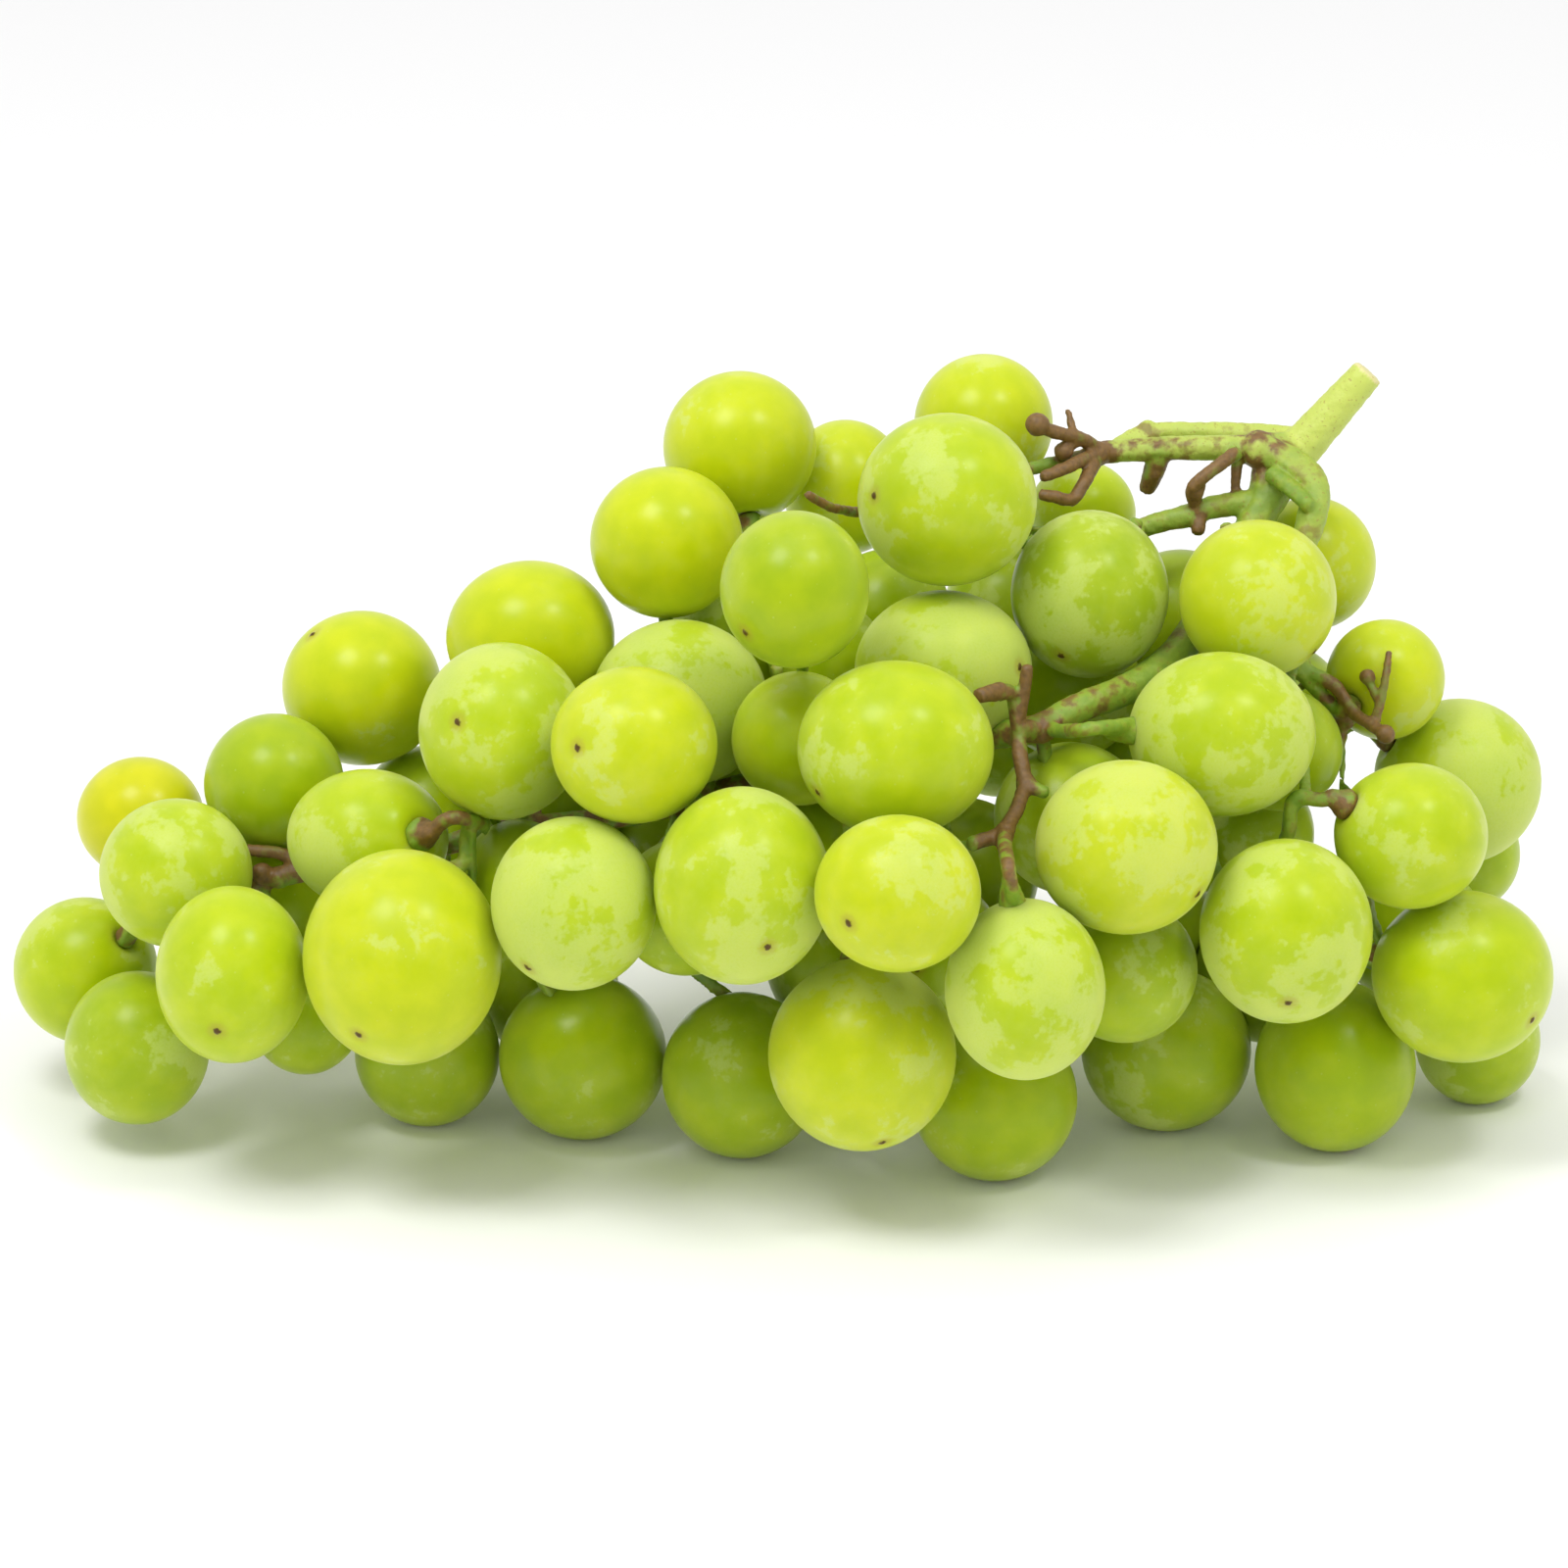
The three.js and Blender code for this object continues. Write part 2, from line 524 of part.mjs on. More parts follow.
// The free space among the berries on an even grid, and the shortest ways through it to the stalk
class FreeSpace {
  constructor(items, stretches) {
    this.box = new THREE.Box3();
    items.forEach((item) => this.box.expandByPoint(item.centre));
    this.box.expandByScalar(GRID_MARGIN);
    this.box.min.z = GRID_STEP;
    this.size = this.box.getSize(new THREE.Vector3()).divideScalar(GRID_STEP).floor().addScalar(1);
    this.count = this.size.x * this.size.y * this.size.z;
    this.stepCost = new Uint8Array(this.count);
    this.towardsStalk = new Int32Array(this.count).fill(-1);
    this.cost = new Int32Array(this.count).fill(-1);
    this.starts = new Set();
    const fronts = items.filter((item) => item.front);
    for (let cell = 0; cell < this.count; cell += 1) {
      const point = this.pointOf(cell);
      const clear = Math.min(...items.map((item) => (
        item.centre.distanceTo(point) - item.halfAxes.x * BERRY_ROUNDING
      )));
      if (clear < GRID_CLEARANCE) continue;
      this.stepCost[cell] = STEP_COST;
      if (clear > OPEN_DISTANCE) this.stepCost[cell] += OPEN_COST;
      if (!isCovered(point, fronts, 0)) this.stepCost[cell] += SEEN_COST;
    }
    this.spreadFromStalk(stretches);
  }

  pointOf(cell) {
    const x = cell % this.size.x;
    const y = Math.floor(cell / this.size.x) % this.size.y;
    const z = Math.floor(cell / (this.size.x * this.size.y));
    return new THREE.Vector3(x, y, z).multiplyScalar(GRID_STEP).add(this.box.min);
  }

  cellOf(point) {
    const place = point.clone().sub(this.box.min).divideScalar(GRID_STEP).round();
    if (place.x < 0 || place.y < 0 || place.z < 0) return -1;
    if (place.x >= this.size.x || place.y >= this.size.y || place.z >= this.size.z) return -1;
    return place.x + this.size.x * (place.y + this.size.y * place.z);
  }

  neighbours(cell) {
    const layer = this.size.x * this.size.y;
    return [1, -1, this.size.x, -this.size.x, layer, -layer].map((jump) => cell + jump)
      .filter((other) => other >= 0 && other < this.count);
  }

  spreadFromStalk(stretches) {
    const waiting = [[]];
    for (const { line } of stretches) {
      const steps = Math.ceil(line.distance() / GRID_STEP);
      for (let index = 0; index <= steps; index += 1) {
        const cell = this.cellOf(line.at(index / steps, new THREE.Vector3()));
        if (cell < 0 || this.cost[cell] === 0) continue;
        this.cost[cell] = 0;
        waiting[0].push(cell);
      }
    }
    for (let cost = 0; cost < waiting.length; cost += 1) {
      for (const cell of waiting[cost] ?? []) {
        if (this.cost[cell] !== cost) continue;
        for (const next of this.neighbours(cell)) {
          if (this.stepCost[next] === 0) continue;
          const total = cost + this.stepCost[next];
          if (this.cost[next] >= 0 && this.cost[next] <= total) continue;
          this.cost[next] = total;
          this.towardsStalk[next] = cell;
          (waiting[total] ??= []).push(next);
        }
      }
    }
  }

  // The best cell just off a berry's skin, near the direction that its pit should face
  doorOf(item) {
    const { leastTurn, turnCost } = item.end ? SEEN_END : HIDDEN_END;
    let best = null;
    for (const direction of DIRECTIONS) {
      const turned = direction.dot(item.wantedPit);
      if (turned < leastTurn) continue;
      const cell = this.cellOf(skinPoint(item, direction, GRID_CLEARANCE + STEM_LIFT));
      if (cell < 0 || this.cost[cell] < 0) continue;
      const score = this.cost[cell] + turnCost * (1 - turned);
      if (!best || score < best.score) best = { cell, direction, score };
    }
    return best;
  }

  // The cell nearest to a place from which a way leads to the stalk
  nearestOpen(place) {
    let best = -1;
    let nearest = Infinity;
    for (let cell = 0; cell < this.count; cell += 1) {
      if (this.cost[cell] < 0) continue;
      const away = this.pointOf(cell).distanceTo(place);
      if (away >= nearest) continue;
      nearest = away;
      best = cell;
    }
    return best;
  }
}

// A stem's first stretch, out of the berry's pit
function stemStart(item) {
  return [skinPoint(item, item.pit, STEM_START), skinPoint(item, item.pit, STEM_LIFT)];
}

// Where a berry's way to the stalk starts: after the places that its stem was seen at, or at its skin
function startOfWay(item, space) {
  if (item.stemPlaces) {
    item.pit = item.wantedPit.clone();
    const places = item.stemPlaces.map((place) => viewPoint(...place));
    return { cell: space.nearestOpen(places.at(-1)), seenLine: [...stemStart(item), ...places] };
  }
  const door = space.doorOf(item);
  item.pit = door ? door.direction.clone() : item.wantedPit.clone();
  return door && item.front ? { cell: door.cell, seenLine: null } : null;
}

// Each berry's way to the stalk. Ways that meet run on together as one branch.
function growWays(items, stretches) {
  const space = new FreeSpace(items, stretches);
  const used = new Map();
  const doors = [];
  const chains = [];
  for (const item of items) {
    const start = startOfWay(item, space);
    if (!start) continue;
    if (start.seenLine) {
      const points = [...start.seenLine, space.pointOf(start.cell)];
      chains.push({ points, berries: 1, seen: true });
    } else {
      doors.push({ item, cell: start.cell });
    }
    for (let cell = start.cell; cell >= 0; cell = space.towardsStalk[cell]) {
      used.set(cell, (used.get(cell) ?? 0) + 1);
    }
    space.starts.add(start.cell);
  }
  const inflow = new Map();
  for (const cell of used.keys()) {
    const next = space.towardsStalk[cell];
    if (next >= 0) inflow.set(next, (inflow.get(next) ?? 0) + 1);
  }
  const isMeeting = (cell) => space.starts.has(cell) || (inflow.get(cell) ?? 0) > 1;
  const isFork = (cell) => isMeeting(cell) || space.towardsStalk[cell] < 0;
  const berryAt = new Map(doors.map(({ item, cell }) => [cell, item]));
  for (const cell of used.keys()) {
    if (!isFork(cell) || space.towardsStalk[cell] < 0) continue;
    const item = berryAt.get(cell);
    const points = [...(item ? stemStart(item) : []), space.pointOf(cell)];
    let at = space.towardsStalk[cell];
    while (!isFork(at)) {
      points.push(space.pointOf(at));
      at = space.towardsStalk[at];
    }
    points.push(space.pointOf(at));
    chains.push({ points, berries: used.get(cell), fromPit: Boolean(item) });
  }
  return chains;
}

function smoothed(points) {
  let line = points.map((point) => point.clone());
  for (let round = 0; round < SMOOTHING_ROUNDS; round += 1) {
    line = line.map((point, index) => {
      if (index === 0 || index === line.length - 1) return point;
      return point.clone().multiplyScalar(2).add(line[index - 1]).add(line[index + 1]).divideScalar(4);
    });
  }
  return line;
}

// A closed tube along a line, round or few-sided, whose radius runs evenly from one end to the other
function tube(points, startRadius, endRadius, sides, stepLength) {
  const curve = new THREE.CatmullRomCurve3(points);
  const steps = Math.max(1, Math.round(curve.getLength() / stepLength));
  const frames = curve.computeFrenetFrames(steps, false);
  const corners = [];
  const faces = [];
  for (let step = 0; step <= steps; step += 1) {
    const middle = curve.getPointAt(step / steps);
    const radius = THREE.MathUtils.lerp(startRadius, endRadius, step / steps);
    for (let side = 0; side < sides; side += 1) {
      const angle = (2 * Math.PI * side) / sides;
      const corner = middle.clone()
        .addScaledVector(frames.normals[step], radius * Math.cos(angle))
        .addScaledVector(frames.binormals[step], radius * Math.sin(angle));
      corners.push(...corner.toArray());
      const next = (side + 1) % sides;
      const here = step * sides;
      if (step < steps) {
        faces.push(here + side, here + next, here + sides + side);
        faces.push(here + next, here + sides + next, here + sides + side);
      }
      if (side > 1 && step === 0) faces.push(0, side, side - 1);
      if (side > 1 && step === steps) faces.push(here, here + side - 1, here + side);
    }
  }
  const geometry = new THREE.BufferGeometry();
  geometry.setAttribute('position', new THREE.Float32BufferAttribute(corners, 3));
  geometry.setIndex(faces);
  return geometry;
}

function knob(radius, place) {
  const geometry = new THREE.IcosahedronGeometry(radius, 0);
  geometry.deleteAttribute('normal');
  geometry.deleteAttribute('uv');
  return mergeVertices(geometry.translate(...place.toArray()));
}

function solidOf(geometry) {
  const vertProperties = new Float32Array(geometry.getAttribute('position').array);
  const triVerts = new Uint32Array(geometry.getIndex().array);
  return new wasm.Manifold(new wasm.Mesh({ numProp: 3, vertProperties, triVerts }));
}

function geometryOf(solid) {
  const mesh = solid.getMesh();
  const geometry = new THREE.BufferGeometry();
  geometry.setAttribute('position', new THREE.BufferAttribute(new Float32Array(mesh.vertProperties), 3));
  geometry.setIndex(new THREE.BufferAttribute(new Uint32Array(mesh.triVerts), 1));
  geometry.computeVertexNormals();
  return geometry;
}

function joined(solids) {
  return solids.reduce((whole, solid) => whole.add(solid));
}

function largestBody(solid) {
  return solid.decompose().reduce((largest, body) => (body.volume() > largest.volume() ? body : largest));
}

// Joins the corners that all but coincide, and drops what hangs on by no more than a corner
function tidiedBody(solid) {
  const geometry = geometryOf(solid);
  geometry.deleteAttribute('normal');
  return largestBody(solidOf(mergeVertices(geometry, CORNER_TOLERANCE)));
}

// All the space above the surface that the bunch lies on
function spaceAboveSurface() {
  const block = new THREE.BoxGeometry(...SPACE_SIZE);
  block.deleteAttribute('normal');
  block.deleteAttribute('uv');
  return solidOf(mergeVertices(block.translate(0, 0, SPACE_SIZE[2] / 2)));
}

const ABOVE_SURFACE = spaceAboveSurface();

// One berry, grown outwards by a clearance: slightly long or wide as measured, with its stem pit
function berrySolid(item, clearance) {
  const turn = new THREE.Quaternion().setFromUnitVectors(new THREE.Vector3(0, 0, 1), item.pit);
  const ball = item.setback < COARSE_SETBACK ? FINE_BALL : COARSE_BALL;
  const positions = cornersOf(ball).flatMap((corner, index) => {
    const direction = corner.clone().applyQuaternion(turn);
    const local = new THREE.Vector3(direction.dot(ACROSS), direction.dot(AWAY), direction.dot(UP));
    local.multiply(item.halfAxes);
    const size = local.length();
    const reach = size + clearance - (index === 0 ? PIT_DEPTH : 0);
    local.multiplyScalar(reach / size);
    return item.centre.clone()
      .addScaledVector(ACROSS, local.x)
      .addScaledVector(AWAY, local.y)
      .addScaledVector(UP, local.z)
      .toArray();
  });
  const geometry = new THREE.BufferGeometry();
  geometry.setAttribute('position', new THREE.Float32BufferAttribute(positions, 3));
  geometry.setIndex(ball.getIndex());
  return solidOf(geometry);
}

function restingBerrySolid(item) {
  const solid = berrySolid(item, 0);
  return solid.boundingBox().min[2] < 0 ? solid.intersect(ABOVE_SURFACE) : solid;
}

function branchSolid({ startRadius, endRadius, points }, sides, stepLength) {
  const places = points.map((point) => viewPoint(...point));
  return solidOf(tube(places, startRadius, endRadius, sides, stepLength));
}

// A stem that shows, with the flared receptacle that holds its berry
function seenStem(points) {
  const [start, lifted] = points;
  const flareEnd = start.clone().addScaledVector(lifted.clone().sub(start), FLARE_SHARE);
  const flare = tube([start, flareEnd], SEEN_RECEPTACLE_RADIUS, SEEN_STEM_RADIUS, ARM_SIDES, SEEN_STEM_STEP);
  const stem = tube(points, SEEN_STEM_RADIUS, SEEN_STEM_RADIUS, TWIG_SIDES, SEEN_STEM_STEP);
  return [solidOf(flare), solidOf(stem)];
}

function stalkSolid(items) {
  const chains = growWays(items, branchStretches(ARMS));
  const solids = [
    ...ARMS.map((arm) => branchSolid(arm, ARM_SIDES, ARM_STEP)),
    ...TWIGS.map((twig) => branchSolid(twig, TWIG_SIDES, TWIG_STEP)),
  ];
  for (const [radius, ...place] of KNOBS) solids.push(solidOf(knob(radius, viewPoint(...place))));
  for (const { points, berries, fromPit, seen } of chains) {
    if (seen) {
      solids.push(...seenStem(points));
      continue;
    }
    const radius = Math.min(SHARED_RADIUS_LIMIT, PEDICEL_RADIUS * berries ** SHARED_RADIUS_POWER);
    const startRadius = fromPit ? RECEPTACLE_RADIUS : radius;
    solids.push(solidOf(tube(smoothed(points), startRadius, radius, PEDICEL_SIDES, PEDICEL_STEP)));
  }
  const grown = joined(solids).intersect(ABOVE_SURFACE);
  const hollowed = items.reduce((stalk, item) => stalk.subtract(berrySolid(item, STALK_GAP)), grown);
  return tidiedBody(largestBody(hollowed));
}

const COLOURS = {
  green: 0xb3cc2a,
  shaded: 0x7f9f26,
  stalk: 0xa9b452,
};

function skinColour(item) {
  return item.setback < DEEP_SETBACK ? COLOURS.green : COLOURS.shaded;
}

function namedMesh(name, solid, colour, roughness) {
  const material = new THREE.MeshStandardMaterial({ color: colour, roughness, metalness: 0 });
  const mesh = new THREE.Mesh(geometryOf(solid), material);
  mesh.name = name;
  return mesh;
}

function buildBunch() {
  const stretches = branchStretches([...ARMS, ...TWIGS]);
  const fronts = makeFrontBerries();
  settleFrontBerries(fronts, stretches);
  restLowBerries(fronts);
  const items = addInnerBerries(fronts, stretches);
  pointPits(items, branchStretches(ARMS));
  const stalk = stalkSolid(items);
  const bunch = new THREE.Group();
  bunch.add(namedMesh('stalk', stalk, COLOURS.stalk, 0.7));
  fronts.forEach((item, index) => {
    const number = String(index + 1).padStart(2, '0');
    const clump = item.clump ?? [item];
    const kind = clump.length > 1 ? 'berry_clump' : 'berry';
    const solid = joined(clump.map(restingBerrySolid));
    bunch.add(namedMesh(`${kind}_${number}`, solid, skinColour(item), 0.35));
  });
  return bunch;
}

// Stands the bunch on the origin: the middle of its outline on the surface that it lies on
function standOnOrigin(bunch) {
  const box = new THREE.Box3().setFromObject(bunch);
  const middle = box.getCenter(new THREE.Vector3());
  bunch.position.set(-middle.x, -middle.y, 0);
  bunch.updateMatrixWorld(true);
  return bunch;
}

const group = standOnOrigin(buildBunch());

export default group;
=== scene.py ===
"""Looks of a bunch of large green grapes that lies on its side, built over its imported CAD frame."""

import logging
import math
from collections.abc import Iterable, Sequence
from dataclasses import dataclass, field
from enum import Enum

import bmesh
import bpy
import numpy as np
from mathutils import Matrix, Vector, noise
from mathutils.kdtree import KDTree

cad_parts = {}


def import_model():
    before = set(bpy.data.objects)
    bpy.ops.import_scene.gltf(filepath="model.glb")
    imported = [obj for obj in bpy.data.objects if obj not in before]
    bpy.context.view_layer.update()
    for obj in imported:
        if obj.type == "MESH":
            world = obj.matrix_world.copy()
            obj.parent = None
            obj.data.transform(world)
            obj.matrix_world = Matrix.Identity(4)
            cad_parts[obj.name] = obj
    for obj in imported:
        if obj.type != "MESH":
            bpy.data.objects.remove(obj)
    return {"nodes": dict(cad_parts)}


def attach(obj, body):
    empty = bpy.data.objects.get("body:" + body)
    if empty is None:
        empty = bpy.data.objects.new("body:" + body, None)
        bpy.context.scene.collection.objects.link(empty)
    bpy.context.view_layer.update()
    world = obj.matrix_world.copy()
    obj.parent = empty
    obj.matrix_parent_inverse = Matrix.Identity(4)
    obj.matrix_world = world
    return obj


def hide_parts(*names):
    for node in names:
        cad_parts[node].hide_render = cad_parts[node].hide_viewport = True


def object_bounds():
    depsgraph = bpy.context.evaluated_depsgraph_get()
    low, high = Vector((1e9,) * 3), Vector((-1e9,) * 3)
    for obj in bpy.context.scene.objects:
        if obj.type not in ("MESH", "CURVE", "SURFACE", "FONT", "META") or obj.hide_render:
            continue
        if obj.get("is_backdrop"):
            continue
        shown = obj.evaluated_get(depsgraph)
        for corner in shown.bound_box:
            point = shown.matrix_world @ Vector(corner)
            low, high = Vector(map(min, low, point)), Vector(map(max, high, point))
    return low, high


LOG = logging.getLogger("grapes")
MM = 0.001
SEED = 4127
MERGE_DISTANCE = 2e-6


@dataclass(frozen=True)
class ViewFrame:
    """The view that the bunch is measured in: from in front and a little above.

    Places in it are millimetres across and up, and millimetres of depth away from the viewer.
    """

    elevation: float = math.radians(22.0)
    distance: float = 1.2
    aim: tuple[float, float, float] = (0.000965, -0.000388, 0.049471)
    centre_up: float = 52.9
    half_width: float = 0.104

    @property
    def axes(self) -> np.ndarray:
        """Rows: across, away and up."""
        sin, cos = math.sin(self.elevation), math.cos(self.elevation)
        return np.array([[1.0, 0.0, 0.0], [0.0, cos, -sin], [0.0, sin, cos]])

    def point(self, across: float, up: float, depth: float) -> np.ndarray:
        """Where a place in the view is in the room.

        Args:
            across: Millimetres to the right.
            up: Millimetres up.
            depth: Millimetres away from the viewer.

        Returns:
            The place in metres.
        """
        near = 1.0 + depth * MM / self.distance
        offset = np.array([across * near, depth, (up - self.centre_up) * near]) * MM
        return np.array(self.aim) + offset @ self.axes


VIEW = ViewFrame()


class Tone(Enum):
    """Colour that a berry's flesh has ripened to."""

    SUNNY = "sunny"
    LIME = "lime"
    LEAFY = "leafy"
    AMBER = "amber"


class Bloom(Enum):
    """How much of its waxy bloom a berry has kept."""

    RUBBED = 0.12
    THIN = 0.34
    PATCHY = 0.52
    FULL = 0.74


@dataclass(frozen=True)
class BerryLook:
    """Finish of one berry and, where it shows, the place of its scar across and up on its disc."""

    tone: Tone = Tone.LEAFY
    bloom: Bloom = Bloom.THIN
    scar: tuple[float, float] | None = None


LOOKS: dict[int, BerryLook] = {
    1: BerryLook(Tone.SUNNY, Bloom.THIN),
    2: BerryLook(Tone.SUNNY, Bloom.THIN),
    3: BerryLook(Tone.SUNNY, Bloom.THIN),
    4: BerryLook(Tone.LIME, Bloom.PATCHY, (-0.83, 0.03)),
    5: BerryLook(Tone.SUNNY, Bloom.RUBBED),
    6: BerryLook(Tone.LEAFY, Bloom.RUBBED, (-0.67, -0.56)),
    7: BerryLook(Tone.LEAFY, Bloom.PATCHY, (-0.39, -0.75)),
    8: BerryLook(Tone.SUNNY, Bloom.PATCHY, (0.71, -0.68)),
    9: BerryLook(Tone.SUNNY, Bloom.THIN),
    10: BerryLook(Tone.LIME, Bloom.THIN),
    11: BerryLook(Tone.SUNNY, Bloom.RUBBED),
    12: BerryLook(Tone.LIME, Bloom.FULL),
    13: BerryLook(Tone.LIME, Bloom.FULL, (0.86, 0.04)),
    14: BerryLook(Tone.SUNNY, Bloom.RUBBED, (-0.61, 0.69)),
    15: BerryLook(Tone.LIME, Bloom.PATCHY, (-0.51, 0.10)),
    16: BerryLook(Tone.SUNNY, Bloom.THIN, (-0.67, -0.04)),
    17: BerryLook(Tone.LIME, Bloom.THIN),
    18: BerryLook(Tone.LIME, Bloom.THIN, (-0.80, -0.50)),
    19: BerryLook(Tone.LIME, Bloom.PATCHY),
    20: BerryLook(Tone.SUNNY, Bloom.THIN),
    21: BerryLook(Tone.LIME, Bloom.FULL),
    22: BerryLook(Tone.LIME, Bloom.THIN),
    23: BerryLook(Tone.SUNNY, Bloom.PATCHY, (0.78, -0.54)),
    24: BerryLook(Tone.LIME, Bloom.PATCHY, (-0.01, -0.77)),
    25: BerryLook(Tone.LIME, Bloom.THIN, (0.74, -0.50)),
    26: BerryLook(Tone.LEAFY, Bloom.RUBBED),
    27: BerryLook(Tone.AMBER, Bloom.RUBBED),
    28: BerryLook(Tone.LIME, Bloom.PATCHY),
    29: BerryLook(Tone.LIME, Bloom.PATCHY),
    30: BerryLook(Tone.LIME, Bloom.THIN),
    31: BerryLook(Tone.LIME, Bloom.THIN, (-0.15, -0.63)),
    32: BerryLook(Tone.LEAFY, Bloom.THIN),
    33: BerryLook(Tone.SUNNY, Bloom.THIN, (-0.41, -0.71)),
    34: BerryLook(Tone.LIME, Bloom.FULL, (-0.55, -0.74)),
    35: BerryLook(Tone.LIME, Bloom.PATCHY, (0.29, -0.61)),
    36: BerryLook(Tone.SUNNY, Bloom.PATCHY, (-0.60, -0.37)),
    37: BerryLook(Tone.LIME, Bloom.FULL),
    38: BerryLook(Tone.SUNNY, Bloom.PATCHY, (0.21, -0.91)),
}
HIDDEN_LOOK = BerryLook(Tone.LEAFY, Bloom.THIN)


@dataclass
class BerryShape:
    """One berry as an ellipsoid along the view's axes.

    Attributes:
        centre: Its centre, in metres along the view's axes.
        half_axes: Its half axes across, away and up, in metres.
        pit: Direction of its stem pit on the unit ball, along the view's axes.
        has_pit: Whether the pit shows in the frame's mesh.
    """

    centre: np.ndarray
    half_axes: np.ndarray
    pit: np.ndarray
    has_pit: bool

    def on_skin(self, directions: np.ndarray) -> np.ndarray:
        """Points on the skin in unit directions, all along the view's axes."""
        return self.centre + directions * self.half_axes

    def pit_place(self) -> np.ndarray:
        """The middle of the stem pit's mouth, in the room."""
        return self.on_skin(self.pit) @ VIEW.axes

    def pit_normal(self) -> np.ndarray:
        """The way out of the stem pit, in the room."""
        normal = self.pit / self.half_axes
        return normal / np.linalg.norm(normal) @ VIEW.axes


@dataclass(frozen=True)
class BerryFitter:
    """Reads the berries back out of a frame node, which may hold several pressed together."""

    crease_depth: float = 2e-7
    smallest_patch: int = 12
    sphere_tolerance: float = 3e-5
    floor_height: float = 2e-5
    pit_depth: float = 1.2 * MM
    pit_tolerance: float = 0.06 * MM
    hidden_pit: tuple[float, float, float] = (0.0, 1.0, 0.2)
    fit_unit: float = 0.01

    def shapes(self, node: bpy.types.Object) -> list[BerryShape]:
        """Fits an ellipsoid to each berry of a node.

        Args:
            node: The frame node.

        Returns:
            The berries, nearest to the viewer first.
        """
        mesh = bmesh.new()
        mesh.from_mesh(node.data)
        bmesh.ops.remove_doubles(mesh, verts=mesh.verts, dist=MERGE_DISTANCE)
        creases = {edge for edge in mesh.edges if self._is_crease(edge)}
        shapes = [self._fit(patch, creases) for patch in self._patches(mesh, creases)]
        mesh.free()
        return sorted(shapes, key=lambda shape: float(shape.centre[1]))

    def _is_crease(self, edge: bmesh.types.BMEdge) -> bool:
        """Whether the two faces of an edge fold inwards."""
        if len(edge.link_faces) != 2:
            return False
        first, second = edge.link_faces
        apex = next(vert for vert in second.verts if vert not in edge.verts)
        return (apex.co - edge.verts[0].co).dot(first.normal) > self.crease_depth

    def _patches(
        self, mesh: bmesh.types.BMesh, creases: set[bmesh.types.BMEdge]
    ) -> list[list[bmesh.types.BMFace]]:
        """Splits a mesh into the patches of skin between its creases.

        Args:
            mesh: The node's mesh.
            creases: Its inward folds.

        Returns:
            The faces of each patch that is large enough to be a berry.
        """
        patches, seen = [], set()
        for start in mesh.faces:
            if start in seen:
                continue
            seen.add(start)
            patch, waiting = [], [start]
            while waiting:
                face = waiting.pop()
                patch.append(face)
                for edge in face.edges:
                    if edge in creases:
                        continue
                    for other in edge.link_faces:
                        if other not in seen:
                            seen.add(other)
                            waiting.append(other)
            if len(patch) >= self.smallest_patch:
                patches.append(patch)
        return patches

    def _fit(
        self, patch: list[bmesh.types.BMFace], creases: set[bmesh.types.BMEdge]
    ) -> BerryShape:
        """Fits one berry to its patch of skin.

        Args:
            patch: The faces of the patch.
            creases: The inward folds of the node.

        Returns:
            The berry.
        """
        verts = {vert for face in patch for vert in face.verts}
        clean = [
            vert.co[:]
            for vert in verts
            if vert.co.z > self.floor_height
            and not any(edge in creases for edge in vert.link_edges)
        ]
        points = np.array(clean) @ VIEW.axes.T
        centre, half_axes = self._ellipsoid(points)
        corners = np.array([vert.co[:] for vert in verts if vert.co.z > self.floor_height])
        local = (corners @ VIEW.axes.T - centre) / half_axes
        sunk = (1 - np.linalg.norm(local, axis=1)) * half_axes.mean()
        deepest = int(np.argmin(np.abs(sunk - self.pit_depth)))
        has_pit = abs(sunk[deepest] - self.pit_depth) < self.pit_tolerance
        outwards = local[deepest] if has_pit else np.array(self.hidden_pit)
        return BerryShape(centre, half_axes, outwards / np.linalg.norm(outwards), has_pit)

    def _ellipsoid(self, points: np.ndarray) -> tuple[np.ndarray, np.ndarray]:
        """Least-squares ellipsoid through points, or the sphere where that fits as well.

        Args:
            points: Corners of the skin, in metres along the view's axes.

        Returns:
            The centre and the half axes.
        """
        middle = points.mean(axis=0)
        local = (points - middle) / self.fit_unit
        terms = np.column_stack([2 * local, np.ones(len(local))])
        found = np.linalg.lstsq(terms, (local**2).sum(axis=1), rcond=None)[0]
        radius = math.sqrt(found[3] + found[:3] @ found[:3])
        misfit = np.abs(np.linalg.norm(local - found[:3], axis=1) - radius).max()
        if misfit * self.fit_unit < self.sphere_tolerance:
            return middle + found[:3] * self.fit_unit, np.full(3, radius * self.fit_unit)
        terms = np.column_stack([local**2, local])
        found = np.linalg.lstsq(terms, np.ones(len(local)), rcond=None)[0]
        squares, centre = found[:3], -found[3:] / (2 * found[:3])
        half_axes = np.sqrt((1 + (squares * centre**2).sum()) / squares)
        return middle + centre * self.fit_unit, half_axes * self.fit_unit


